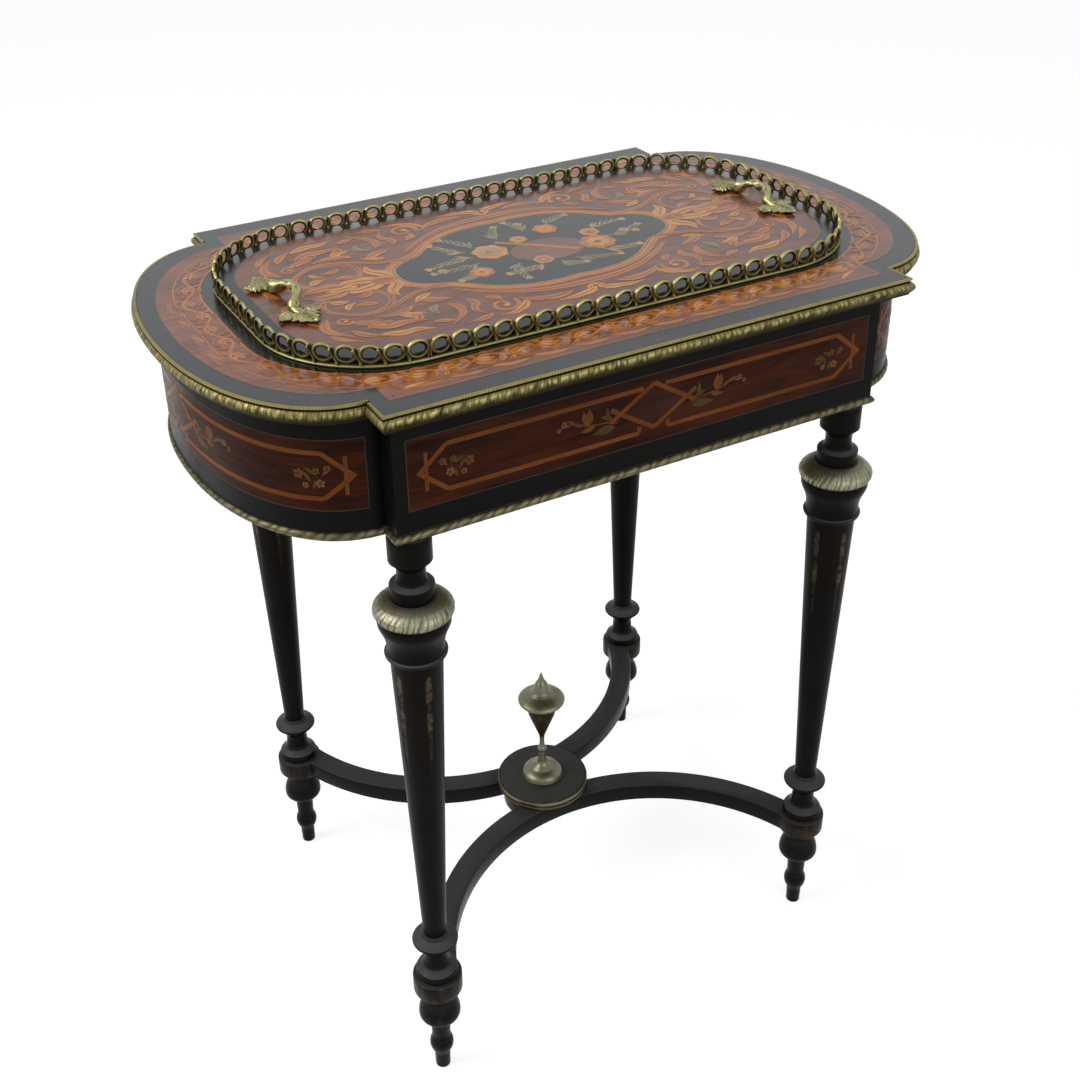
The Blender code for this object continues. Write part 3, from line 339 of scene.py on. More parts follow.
def spread(tree, value, low, high, to_low=0.0, to_high=1.0):
    """Stretches a value from one range to another, with soft ends."""
    return add_node(tree, "ShaderNodeMapRange", {0: value, 1: low, 2: high, 3: to_low, 4: to_high},
                    interpolation_type="SMOOTHSTEP").outputs[0]


def mix_colour(tree, share, first, second):
    """The first colour at a share of 0, the second at 1."""
    mix = add_node(tree, "ShaderNodeMix", {"Factor": share, 6: first, 7: second}, data_type="RGBA")
    return mix.outputs[2]


def scaled(tree, vector, factors):
    """A vector with a factor on each axis."""
    return add_node(tree, "ShaderNodeVectorMath", {0: vector, 1: factors}, operation="MULTIPLY").outputs[0]


# %% [markdown]
# ### Figure and polish
#
# The veneer's figure is noise drawn out along the grain, with finer streaks for the pores and slow clouds
# over both. A wave texture would give bands, but they are too even for wood. The polish is a slow
# cloudiness in the roughness, with faint streaks where it was rubbed.

# %% Figure and polish
WHITE = (1, 1, 1, 1)
BLACK = (0, 0, 0, 1)


def make_figure_group():
    """The veneer's colour between dark and light, and the height of its pores."""
    tree, given, result = new_group(
        "veneer_figure",
        [("Vector", "Vector", None), ("Scale", "Float", 60.0), ("Dark", "Color", BLACK),
         ("Light", "Color", WHITE), ("Contrast", "Float", 0.5)],
        [("Color", "Color"), ("Height", "Float")])
    along = scaled(tree, given["Vector"], (0.16, 1.0, 1.0))
    figure = noise(tree, along, given["Scale"], 5.0, 0.6, 1.2)
    fine = scaled(tree, given["Vector"], (0.6, 14.0, 14.0))
    pores = noise(tree, fine, given["Scale"], 3.0, 0.6)
    clouds = noise(tree, given["Vector"], 14.0, 2.0)
    mixed = math_node(tree, "MULTIPLY_ADD", pores, 0.35, math_node(tree, "MULTIPLY", figure, 0.65))
    mixed = math_node(tree, "MULTIPLY_ADD", clouds, 0.3, math_node(tree, "SUBTRACT", mixed, 0.15))
    centred = math_node(tree, "SUBTRACT", mixed, 0.5)
    steep = math_node(tree, "MULTIPLY", given["Contrast"], 5.0)
    share = math_node(tree, "MULTIPLY_ADD", centred, steep, 0.5, True)
    tree.links.new(mix_colour(tree, share, given["Dark"], given["Light"]), result.inputs["Color"])
    tree.links.new(pores, result.inputs["Height"])
    return tree


def make_polish_group():
    """The polish's roughness between low and high."""
    tree, given, result = new_group(
        "polish_haze",
        [("Vector", "Vector", None), ("Low", "Float", 0.15), ("High", "Float", 0.35)],
        [("Roughness", "Float")])
    clouds = noise(tree, given["Vector"], 9.0, 5.0, 0.6)
    streaks = noise(tree, scaled(tree, given["Vector"], (8.0, 60.0, 60.0)), 3.0, 3.0)
    mixed = math_node(tree, "MULTIPLY_ADD", streaks, 0.3, math_node(tree, "MULTIPLY", clouds, 0.7))
    share = spread(tree, mixed, 0.35, 0.65)
    wide = math_node(tree, "SUBTRACT", given["High"], given["Low"])
    tree.links.new(math_node(tree, "MULTIPLY_ADD", share, wide, given["Low"]), result.inputs["Roughness"])
    return tree


figure_group = make_figure_group()
polish_group = make_polish_group()
print("effects on wood:", figure_group.name, "and", polish_group.name)

# %% [markdown]
# ### Patina and rubbing
#
# Patina darkens a casting's hollows and leaves its crests bright. Rubbing wears an ebonised turning to brown
# and lays grey dust on what faces up, and that dust also paints the sheen there. Blender's pointiness could
# find the hollows, but it needs dense meshes and can't tell a stamped hollow from a fold, so both effects read
# the relief value that each point carries. On the gallery, the mouldings, the collars and the hub ring, that
# value also holds painted shade and painted highlights.

# %% Patina and rubbing
def make_patina_group():
    """Old metal's colour, roughness and fine height: grime where the relief is low, metal where it is
    high. On some pieces the low values also paint shade and the high ones paint highlights."""
    tree, given, result = new_group(
        "brass_patina",
        [("Vector", "Vector", None), ("Relief", "Float", PLAIN_RELIEF), ("Bright", "Color", WHITE),
         ("Dull", "Color", WHITE), ("Grime", "Color", BLACK), ("Age", "Float", 0.5)],
        [("Color", "Color"), ("Roughness", "Float"), ("Height", "Float")])
    blotches = noise(tree, given["Vector"], 70.0, 5.0, 0.65)
    specks = noise(tree, given["Vector"], 900.0, 3.0, 0.6)
    worn = math_node(tree, "MULTIPLY_ADD", blotches, given["Age"], math_node(tree, "MULTIPLY", specks, 0.25))
    metal = mix_colour(tree, spread(tree, worn, 0.22, 0.62), given["Bright"], given["Dull"])
    uneven = math_node(tree, "SUBTRACT", blotches, 0.5)
    depth = math_node(tree, "MULTIPLY_ADD", uneven, 0.5, given["Relief"])
    clean = spread(tree, depth, 0.08, 0.55)
    tree.links.new(mix_colour(tree, clean, given["Grime"], metal), result.inputs["Color"])
    rough = math_node(tree, "MULTIPLY_ADD", clean, -0.30, 0.62)
    rough = math_node(tree, "MULTIPLY_ADD", specks, 0.14, rough)
    tree.links.new(rough, result.inputs["Roughness"])
    tree.links.new(math_node(tree, "MULTIPLY_ADD", blotches, 0.4, specks), result.inputs["Height"])
    return tree


def make_rubbing_group():
    """Ebonised wood's colour and roughness: bare wood where rubbed, dust and painted sheen where it faces up.
    """
    tree, given, result = new_group(
        "rubbed_black",
        [("Vector", "Vector", None), ("Up", "Float", 0.0), ("Edge", "Float", 0.0),
         ("Black", "Color", BLACK), ("Wood", "Color", (0.1, 0.05, 0.02, 1)),
         ("Dust", "Color", (0.2, 0.2, 0.2, 1)), ("Wear", "Float", 0.3)],
        [("Color", "Color"), ("Roughness", "Float")])
    rubs = noise(tree, given["Vector"], 26.0, 6.0, 0.7)
    scuffs = noise(tree, scaled(tree, given["Vector"], (1.0, 1.0, 0.2)), 160.0, 3.0)
    bare = math_node(tree, "MULTIPLY_ADD", given["Edge"], 0.35, math_node(tree, "MULTIPLY", rubs, scuffs))
    bare = math_node(tree, "MULTIPLY", spread(tree, bare, 0.34, 0.60), given["Wear"])
    film = math_node(tree, "MULTIPLY", spread(tree, rubs, 0.30, 0.75), 0.012)
    # grey dust and a painted sheen on what faces up
    dust_and_sheen_share = math_node(tree, "MULTIPLY_ADD", spread(tree, given["Up"], 0.25, 0.90), 0.30, film)
    ground = mix_colour(tree, bare, given["Black"], given["Wood"])
    tree.links.new(mix_colour(tree, dust_and_sheen_share, ground, given["Dust"]), result.inputs["Color"])
    tree.links.new(math_node(tree, "MULTIPLY_ADD", rubs, 0.28, 0.20), result.inputs["Roughness"])
    return tree


patina_group = make_patina_group()
rubbing_group = make_rubbing_group()
print("effects of age:", patina_group.name, "and", rubbing_group.name)

# %% [markdown]
# ### Materials
#
# Every veneer is the same recipe with its own two colours: the figure gives the colour, its pores a faint
# bump and the haze the roughness. The French polish itself is the shader's gloss. It is full on the top, and
# low on the sides and the legs, which are dry and dull. The metals and the ebonised wood have a recipe each.

# %% Parts of a material
def start_material(name, **values):
    """A new material with values set on the shader's own sockets; gives its tree, shader and object place
    too."""
    material = bpy.data.materials.new(name)
    material.use_nodes = True
    tree = material.node_tree
    shader = tree.nodes["Principled BSDF"]
    for key, value in values.items():
        shader.inputs[key.replace("_", " ")].default_value = value
    place = add_node(tree, "ShaderNodeTexCoord").outputs["Object"]
    return material, tree, shader, place


def place_group(tree, group, **inputs):
    """Places a shared effect in a material and gives its outputs."""
    return add_node(tree, "ShaderNodeGroup", inputs, node_tree=group).outputs


def point_value(tree, name):
    """The node of a value that every point of a mesh carries."""
    return add_node(tree, "ShaderNodeAttribute", attribute_name=name)


def add_bump(tree, shader, height, strength, distance):
    """Lets a height tilt the surface a little."""
    bump = add_node(tree, "ShaderNodeBump", {"Height": height, "Strength": strength, "Distance": distance})
    tree.links.new(bump.outputs["Normal"], shader.inputs["Normal"])


# %% Material recipes
def veneer(name, dark, light, contrast=0.5, scale=60.0, gloss=0.5, haze=(0.15, 0.28), follow_grain=True):
    """Polished wood: figure and pores along the grain, under a polish that is hazier in places."""
    material, tree, shader, place = start_material(name, Specular_IOR_Level=gloss)
    grain = point_value(tree, "grain").outputs["Vector"] if follow_grain else place
    figure = place_group(tree, figure_group, Vector=grain, Scale=scale, Dark=(*dark, 1), Light=(*light, 1),
                         Contrast=contrast)
    polish = place_group(tree, polish_group, Vector=place, Low=haze[0], High=haze[1])
    tree.links.new(figure["Color"], shader.inputs["Base Color"])
    tree.links.new(polish["Roughness"], shader.inputs["Roughness"])
    add_bump(tree, shader, figure["Height"], 0.12, 0.0002)
    return material


def aged_metal(name, bright, dull, grime, age=0.55, bump=0.25):
    """Old cast, stamped or turned metal, bright on its crests and dirty in its hollows."""
    material, tree, shader, place = start_material(name, Metallic=1.0)
    relief = point_value(tree, "relief").outputs["Fac"]
    patina = place_group(tree, patina_group, Vector=place, Relief=relief, Bright=(*bright, 1),
                         Dull=(*dull, 1), Grime=(*grime, 1), Age=age)
    tree.links.new(patina["Color"], shader.inputs["Base Color"])
    tree.links.new(patina["Roughness"], shader.inputs["Roughness"])
    add_bump(tree, shader, patina["Height"], bump, 0.0003)
    return material


def rubbed_black(name, black, wood, dust_and_sheen, wear, gilt=None, gloss=0.07):
    """Ebonised wood, rubbed through where the relief value is high. With gilt, that value shows gilding."""
    material, tree, shader, place = start_material(name, Specular_IOR_Level=gloss)
    facing = add_node(tree, "ShaderNodeNewGeometry").outputs["Normal"]
    up = add_node(tree, "ShaderNodeSeparateXYZ", {0: facing}).outputs["Z"]
    relief = point_value(tree, "relief").outputs["Fac"]
    rubbed = place_group(tree, rubbing_group, Vector=place, Up=up, Edge=0.0 if gilt else relief,
                         Black=(*black, 1), Wood=(*wood, 1), Dust=(*dust_and_sheen, 1), Wear=wear)
    colour = rubbed["Color"]
    if gilt:
        flakes = noise(tree, place, 170.0, 3.0, 0.6)
        left = math_node(tree, "MULTIPLY", relief, spread(tree, flakes, 0.28, 0.68))
        colour = mix_colour(tree, left, colour, (*gilt, 1))
    tree.links.new(colour, shader.inputs["Base Color"])
    tree.links.new(rubbed["Roughness"], shader.inputs["Roughness"])
    add_bump(tree, shader, noise(tree, place, 320.0, 4.0), 0.10, 0.0003)
    return material


# %% [markdown]
# The colours were matched with the photo, under the lamps that stand at the end of this lesson. A wood's
# row holds the material's name, the dark and the light of its figure, the contrast and the scale. A metal's
# row holds its bright, dull and dirty colours.

# %% Woods
BLACK_WOOD = ((0.005, 0.005, 0.0055), (0.012, 0.011, 0.0115))
BLACK_DRY = ((0.0030, 0.0027, 0.0025), (0.0075, 0.0066, 0.0060))
DRY = {"gloss": 0.05, "haze": (0.28, 0.48)}
TOP_WOODS = {
    "rosewood": ("polished_rosewood", (0.056, 0.013, 0.0055), (0.230, 0.064, 0.022), 0.70, 48.0),
    "border": ("border_rosewood", (0.078, 0.019, 0.0070), (0.290, 0.083, 0.027), 0.70, 48.0),
    "russet": ("russet_veneer", (0.150, 0.040, 0.012), (0.360, 0.105, 0.030), 0.5, 90.0),
    "gold": ("polished_satinwood", (0.290, 0.082, 0.013), (0.570, 0.190, 0.032), 0.5, 90.0),
    "pale": ("polished_boxwood", (0.290, 0.170, 0.072), (0.470, 0.300, 0.140), 0.35, 90.0),
    "green": ("stained_green_veneer", (0.120, 0.108, 0.048), (0.280, 0.236, 0.100), 0.5, 120.0),
    "red": ("padouk_veneer", (0.360, 0.078, 0.014), (0.600, 0.160, 0.032), 0.5, 120.0),
    "amber": ("amber_veneer", (0.460, 0.158, 0.020), (0.720, 0.310, 0.052), 0.5, 120.0),
    "brown": ("walnut_veneer", (0.100, 0.034, 0.016), (0.240, 0.095, 0.046), 0.5, 90.0),
    "black": ("ebony_veneer", *BLACK_WOOD, 0.4, 60.0),
}
SIDE_WOODS = {
    "rosewood": ("dry_rosewood", (0.0085, 0.0020, 0.0010), (0.066, 0.0155, 0.0050), 0.7, 42.0),
    "gold": ("dry_satinwood", (0.110, 0.032, 0.0075), (0.235, 0.075, 0.019), 0.5, 90.0),
    "pale": ("dry_boxwood", (0.130, 0.074, 0.038), (0.235, 0.150, 0.084), 0.35, 90.0),
    "tan": ("dry_pearwood", (0.085, 0.034, 0.012), (0.175, 0.076, 0.029), 0.5, 120.0),
    "olive": ("dry_olivewood", (0.050, 0.030, 0.010), (0.115, 0.068, 0.023), 0.5, 120.0),
    "line": ("dry_stringing", (0.040, 0.027, 0.022), (0.080, 0.056, 0.046), 0.5, 90.0),
    "brown": ("dry_walnut", (0.022, 0.0070, 0.0038), (0.062, 0.022, 0.0115), 0.5, 90.0),
}
top_woods = {wood: veneer(*row) for wood, row in TOP_WOODS.items()}
side_woods = {wood: veneer(*row, **DRY) for wood, row in SIDE_WOODS.items()}
black_polish = veneer("black_polish", *BLACK_WOOD, 0.4, 40.0, follow_grain=False)
black_side = veneer("black_side", *BLACK_DRY, 0.4, 40.0, follow_grain=False, **DRY)
bare_poplar = veneer("bare_poplar", (0.230, 0.150, 0.075), (0.440, 0.310, 0.175), 0.5, 26.0,
                     gloss=0.2, haze=(0.55, 0.75), follow_grain=False)
print("woods:", len(bpy.data.materials))

# %% Ebonised wood and metals
# The third colour of each is grey dust, which also paints the sheen on what faces up.
black_turned = rubbed_black("black_turned", (0.0050, 0.0037, 0.0024), (0.050, 0.028, 0.014),
                            (0.215, 0.222, 0.230), 0.4, gilt=(0.120, 0.084, 0.054), gloss=0.042)
black_frame = rubbed_black("black_frame", (0.0044, 0.0041, 0.0038), (0.105, 0.064, 0.031),
                           (0.120, 0.121, 0.114), 0.6)
METALS = {
    "gallery_brass": ((0.440, 0.390, 0.165), (0.200, 0.170, 0.052), (0.024, 0.019, 0.007)),
    "handle_brass": ((0.470, 0.435, 0.215), (0.250, 0.225, 0.098), (0.040, 0.034, 0.014)),
    "stamped_brass": ((0.380, 0.320, 0.124), (0.150, 0.122, 0.046), (0.026, 0.020, 0.008)),
    "base_brass": ((0.168, 0.151, 0.086), (0.072, 0.062, 0.035), (0.018, 0.015, 0.008)),
    "collar_brass": ((0.340, 0.322, 0.215), (0.150, 0.143, 0.100), (0.030, 0.026, 0.014)),
    "finial_brass": ((0.192, 0.184, 0.121), (0.102, 0.095, 0.060), (0.030, 0.019, 0.011), 0.5, 0.12),
    "dull_zinc": ((0.420, 0.440, 0.450), (0.260, 0.275, 0.285), (0.130, 0.130, 0.125), 0.6),
    "turned_steel": ((0.330, 0.320, 0.310), (0.180, 0.170, 0.160), (0.060, 0.045, 0.035), 0.6),
}
metals = {name: aged_metal(name, *row) for name, row in METALS.items()}
print("metals:", ", ".join(metals))

# %% [markdown]
# ## Laying marquetry
#
# Marquetry is thin sheets of wood cut to shape and laid side by side in a ground. It could be painted on with
# a texture, but a procedural texture can't draw a leaf, so each piece of veneer is a thin closed slab that
# starts just below the surface and ends less than half a millimetre above it. No two sheets end at quite the
# same height, so none of them flickers through another. The slabs are drawn flat, and a place function then
# carries them onto the tray, the top, or the unrolled side of the box.

# %% Sheets of veneer
SINK = 0.4 * MILLIMETRE
LEVELS = {"ground": 0.08, "band": 0.15, "patch": 0.22, "motif": 0.29, "petal": 0.36, "vein": 0.43}
SHEETS_PER_LEVEL = 40
SHEET_STEP = 0.0015
THINNEST = 0.06 * MILLIMETRE
FIGURE_JUMP = 0.37


def ellipse(half_x, half_y, count):
    """Points round an ellipse about the origin."""
    turn = full_turn(count)
    return np.stack([half_x * np.cos(turn), half_y * np.sin(turn)], -1)


class Sheets:
    """Cut veneer on one body, one shell to each wood; place carries a sheet from (u, v, lift) to (x, y,
    z)."""

    def __init__(self, woods, place=None):
        self.shells = {wood: Shell() for wood in woods}
        self.laid = 0
        self.place = place

    def lift(self, level):
        """The height of a sheet's upper side: its level, and a hair more for each sheet so that none
        coincide."""
        self.laid += 1
        return (LEVELS[level] + SHEET_STEP * (self.laid % SHEETS_PER_LEVEL)) * MILLIMETRE

    def strip(self, wood, path, half_width, level="motif", closed=False):
        """A slab along a path: its corners lie half a width to each side, below and above the surface. Its
        grain runs along it, in a part of the figure that is its own."""
        path = np.asarray(path, float)
        rows = len(path)
        ahead = np.roll(path, -1, 0) - np.roll(path, 1, 0) if closed else np.gradient(path, axis=0)
        ahead = ahead / np.maximum(np.linalg.norm(ahead, axis=1, keepdims=True), 1e-9)
        half = np.maximum(np.broadcast_to(half_width, rows), THINNEST)
        side = np.stack([-ahead[:, 1], ahead[:, 0]], -1) * half[:, None]
        flat = np.stack([path + side, path - side, path - side, path + side], 1)
        lift = self.lift(level)
        height = np.broadcast_to([-SINK, -SINK, lift, lift], (rows, 4))
        across = half[:, None] * np.array([1, -1, -1, 1])
        sheet = np.full((rows, 4), FIGURE_JUMP * self.laid)
        grain = np.stack([run_along(path)[:, None] + sheet, across, sheet], -1)
        self.shells[wood].tube(self.place(np.dstack([flat, height])), closed, grain=grain)

    def plate(self, wood, outline, level="ground"):
        """A flat plate inside a closed outline that every ray from its middle crosses once."""
        outline = np.asarray(outline, float)
        count = len(outline)
        lift = self.lift(level)
        ring = loops_at((outline, -SINK), (outline, lift))
        middle = outline.mean(0)
        tips = np.array([[*middle, -SINK], [*middle, lift]])
        points = np.concatenate([ring.reshape(-1, 3), tips])
        first = np.arange(count)
        after = (first + 1) % count
        under = np.stack([after, first, np.full(count, 2 * count)], -1)
        over = np.stack([first + count, after + count, np.full(count, 2 * count + 1)], -1)
        self.shells[wood].add(self.place(points), grid_faces(2, count), under, over, grain=points)

    def oval(self, wood, centre, half_x, half_y, level, count):
        """A plate inside an ellipse."""
        self.plate(wood, np.asarray(centre) + ellipse(half_x, half_y, count), level)

    def frame(self, wood, outer, inner):
        """A flat plate between an outline and a second one inside it with equally many points."""
        lift = self.lift("ground")
        loops = loops_at((outer, -SINK), (outer, lift), (inner, lift), (inner, -SINK))
        self.shells[wood].tube(self.place(loops), True, grain=loops)

    def pieces(self, prefix, body, slot, woods):
        """Makes one object of each wood that was used."""
        for wood, shell in self.shells.items():
            if shell.count:
                shell.piece(f"{prefix}_{wood}", body, slot, woods[wood])


# %% [markdown]
# Nearly every motif is one form: a strip along a curve, whose width is free to change. A leaf is a strip
# that swells and closes, a scroll is a strip on a spiral, a flower is a ring of short leaves. So a motif
# only has to say where its strips run and how wide they are.

# %% Leaves, flowers and sprays
class Marquetry(Sheets):
    """Motifs cut from sheets of veneer."""

    def stroke(self, wood, knots, half_width, lobes=0, side=1, vein=None, level="motif"):
        """A leaf along a curve: half width w sin(pi t^0.75), one edge swollen by 0.45 w |sin(lobes pi t)|."""
        t = np.linspace(0, 1, 9 + 5 * lobes)
        path = smooth_curve(knots, len(t))
        half = half_width * np.sin(math.pi * t ** 0.75)
        lobe = 0.45 * half * np.abs(np.sin(lobes * math.pi * t))
        ahead = np.gradient(path, axis=0)
        aside = side * np.stack([-ahead[:, 1], ahead[:, 0]], -1)
        aside = aside / np.linalg.norm(ahead, axis=1, keepdims=True)
        self.strip(wood, path + aside * lobe[:, None] / 2, half + lobe / 2, level)
        if vein:
            self.strip(vein, path[2:-2], 0.13 * half[2:-2], "vein")

    def leaf(self, wood, base, angle, length, half_width, bend=0.0, fullness=0.8, level="motif"):
        """A strip whose width is w sin(pi t^fullness) and whose direction turns by bend from base to tip."""
        t = np.linspace(0, 1, 8)
        path = self.bent_path(base, angle + bend * t, length)
        self.strip(wood, path, half_width * np.sin(math.pi * t ** fullness), level)

    @staticmethod
    def bent_path(base, heading, length):
        """Equal steps from a base, each in its own heading."""
        step = length / (len(heading) - 1) * direction(heading)
        return np.asarray(base) + np.cumsum(step, 0) - step[0]

    def flower(self, centre, radius, petals, woods, turn=0.0, broad=1.0):
        """Two rings of blunt petals round a small plate. The woods are outer petals, inner petals and
        heart, and with broad below 1 the petals stand apart."""
        centre = np.asarray(centre, float)
        for ring, (reach, count, level) in enumerate(((1.0, petals, "petal"), (0.6, petals - 1, "vein"))):
            wide = broad * radius * reach * math.sin(math.pi / count)
            for k in range(count):
                angle = turn + 2 * math.pi * (k + ring / 2) / count
                base = centre + 0.10 * radius * np.array([math.cos(angle), math.sin(angle)])
                self.leaf(woods[ring], base, angle, 0.92 * radius * reach, wide, 0.25, 1.5, level)
        self.oval(woods[2], centre, 0.17 * radius, 0.17 * radius, "vein", 9)

    def spray(self, woods, base, angle, length, bend, leaves, size):
        """A bent stem: a broad leaf at its foot, slender ones to either side, a bud at its end. The woods are
        stem, leaves and bud."""
        stem, leaf_wood, bud = woods
        t = np.linspace(0, 1, 12)
        heading = angle + bend * t
        path = self.bent_path(base, heading, length)
        self.strip(stem, path, 0.05 * size * (1.5 - t))
        self.leaf(leaf_wood, path[1], angle - 0.8 * math.copysign(1, bend), 1.2 * size, 0.15 * size, bend)
        for k in range(leaves):
            spot = 2 + int(9 * k / leaves)
            side = 1 if k % 2 else -1
            self.leaf(stem if k % 3 == 2 else leaf_wood, path[spot], heading[spot] + 0.7 * side,
                      size * (1.15 - 0.50 * t[spot]), 0.080 * size, -0.6 * side)
        for turn in (-0.45, 0.0, 0.45):
            self.leaf(bud, path[-1], heading[-1] + turn, 0.6 * size, 0.13 * size, 0.0, 1.2)


# %% Places for marquetry
def on_tray(slab):
    """u runs to the right and v to the back, on the lifted tray."""
    return slab + (0, 0, LID_Z)


def on_top(slab):
    """u runs to the right and v to the back, on the top board."""
    return slab + (0, 0, TOP_Z)


def on_front(slab):
    """u runs to the right along the front, v is the height."""
    return np.stack([slab[..., 0], -APRON_Y - slab[..., 2], slab[..., 1]], -1)


def on_back(slab):
    """u runs to the right for someone behind the table, v is the height."""
    return np.stack([-slab[..., 0], APRON_Y + slab[..., 2], slab[..., 1]], -1)


def on_bow(side):
    """u runs round a bowed end from its middle, v is the height; side is 1 for the right end."""
    def place(slab):
        """Follows the bow and moves out along its normal."""
        spot, normal = apron_bow.at(slab[..., 0] + apron_bow.length / 2)
        spot = spot + normal * slab[..., 2:3]
        return np.stack([side * spot[..., 0], side * spot[..., 1], slab[..., 1]], -1)
    return place


# %% [markdown]
# ## The tray's ground and strapwork
#
# The tray shows a dark lobed cartouche with a bunch of flowers, held in golden strapwork, on a rosewood field
# with a black edge. The cartouche is a smooth curve through a few points of one quarter, repeated four ways,
# and the strips round it are the same curve moved outwards, so they keep an even distance as a fretsaw cut
# does. All the drawing is in millimetres from the middle.

# %% Tray ground
FIELD_MARGIN = 14.5
FIELD_LINE = 0.4
CARTOUCHE = np.array([(133, 0), (129, 17), (113, 29), (100, 33.5),
                      (89, 43), (70, 59.5), (46, 70.5), (18, 74.2)])
CARTOUCHE_TOP = (0, 72.8)
CARTOUCHE_RIMS = (("pale", 1.2, 0.8, "motif"), ("gold", 6.4, 3.7, "patch"),
                  ("amber", 4.4, 0.7, "motif"), ("red", 8.2, 0.6, "motif"))
tray_work = Marquetry(top_woods, on_tray)


def four_fold(quarter, top):
    """A closed outline from the points of its first quarter and its top point."""
    right = np.concatenate([quarter, [top], quarter[:0:-1] * (-1, 1)])
    return np.concatenate([right, -right])


margin = FIELD_MARGIN * MILLIMETRE
field = round_rectangle(LID_X - margin, LID_Y - margin, LID_CORNER - margin)
tray_work.plate("rosewood", field)
tray_work.strip("brown", field, FIELD_LINE * MILLIMETRE, "band", True)
cartouche = smooth_curve(four_fold(CARTOUCHE, CARTOUCHE_TOP), 240, True) * MILLIMETRE
grow = outward(cartouche) * MILLIMETRE
tray_work.plate("black", cartouche, "patch")
for wood, out, half, level in CARTOUCHE_RIMS:
    tray_work.strip(wood, cartouche + out * grow, half * MILLIMETRE, level, True)
print("cartouche:", len(cartouche), "points")

# %% [markdown]
# ## Scrolls and foliage on the tray
#
# Round the cartouche run flat golden bands, C-scrolls with an oval inside each, and acanthus leaves that fill
# the corners. Each is one stroke of the fretsaw: a curve through three or four points, a half width and a
# number of lobes on its outer edge. One quarter is listed here and repeated in the other three, as a cutter
# saws four sheets in one packet.

# %% Leaves of the foliage
FOLIAGE_FULLNESS = 1.22
FOLIAGE = (
    ("amber", 4.8, 2, ((150, 0), (162, 7), (178, 9), (192, 3))),
    ("gold", 4.8, 2, ((180, 2), (195, 8), (210, 8), (224, 2))),
    ("amber", 4.2, 0, ((172, 0), (185, 0), (204, 0))),
    ("gold", 2.8, 1, ((206, 10), (216, 18), (228, 20), (238, 14))),
    ("amber", 4.4, 2, ((138, 6), (145, 16), (152, 26), (150, 38))),
    ("gold", 3.8, 1, ((138, 0), (150, 4), (160, 1))),
    ("gold", 3.0, 1, ((166, 16), (176, 22), (186, 21))),
    ("amber", 2.6, 1, ((208, 20), (200, 27), (190, 27))),
    ("gold", 2.8, 1, ((172, 44), (182, 38), (193, 40))),
    ("amber", 2.4, 0, ((200, 44), (196, 36), (188, 33))),
    ("gold", 3.8, 3, ((200, 80), (185, 90), (165, 90), (150, 95))),
    ("gold", 3.4, 2, ((207, 70), (196, 75), (183, 75))),
    ("amber", 3.3, 2, ((168, 74), (158, 79), (146, 80))),
    ("gold", 3.6, 2, ((142, 54), (128, 61), (113, 66))),
    ("gold", 3.0, 2, ((124, 73), (119, 85), (122, 97), (140, 115))),
    ("gold", 2.8, 1, ((150, 62), (160, 68), (175, 70), (190, 66))),
    ("gold", 3.3, 2, ((222, 52), (230, 64), (228, 80), (214, 96))),
    ("amber", 3.4, 2, ((196, 100), (182, 107), (166, 107), (152, 113))),
    ("gold", 2.5, 1, ((226, 30), (234, 40), (236, 54), (230, 66))),
    ("gold", 2.9, 2, ((106, 72), (104, 84), (110, 96), (104, 110))),
    ("gold", 2.6, 1, ((100, 110), (112, 115), (128, 117))),
    ("amber", 2.8, 2, ((62, 97), (72, 110), (84, 117), (100, 117))),
    ("gold", 3.4, 2, ((20, 104), (40, 106), (58, 101), (70, 91))),
    ("amber", 3.2, 2, ((0, 106), (12, 112), (26, 115), (44, 115))),
    ("green", 2.5, 1, ((132, 70), (140, 78), (138, 90))),
    ("gold", 2.4, 1, ((176, 82), (190, 80), (204, 88))),
    ("gold", 2.8, 1, ((214, 82), (207, 96), (192, 106))),
    ("gold", 2.6, 1, ((92, 76), (84, 84), (82, 92))),
    ("amber", 2.4, 1, ((126, 46), (138, 50), (146, 58))),
    ("gold", 2.4, 1, ((240, 8), (246, 20), (246, 36))),
    ("gold", 2.4, 1, ((150, 100), (140, 104), (130, 108))),
    ("amber", 2.2, 0, ((0, 98), (6, 106), (4, 116))),
    ("gold", 2.2, 1, ((232, 84), (226, 96), (212, 108))))
print("leaves in each quarter:", len(FOLIAGE))

# %% Tray scrolls
QUARTERS = np.array([(1, 1), (-1, 1), (-1, -1), (1, -1)])
BANDS = (("gold", 4.8, 1.6, ((0, 92.5), (28, 91), (52, 85), (74, 74), (92, 61), (106, 49))),
         ("gold", 3.1, 2.3, ((105, 34), (120, 35.5), (135, 38.5), (150, 46), (165, 55), (185, 60), (200, 54),
                             (214, 41), (217.5, 27), (213, 12))),
         ("gold", 1.4, 1.2, ((165, 55), (156, 35), (165, 12))),
         ("amber", 1.2, 0.8, ((134, 0), (150, 0), (165, 0))))
SPIRALS = ((85, 99, 14.0, 3.6, -1.2, 2.2), (158, 84.5, 7.0, 1.0, 1.1, 1.5), (211, 62, 8.0, 2.6, -1.1, 1.5))
SPIRAL_EYE = 1.3
OVAL = (187, 33, 27.5, 23.5)
OVAL_LINE = 0.9
oval_ring = OVAL[:2] + ellipse(*OVAL[2:], 44)


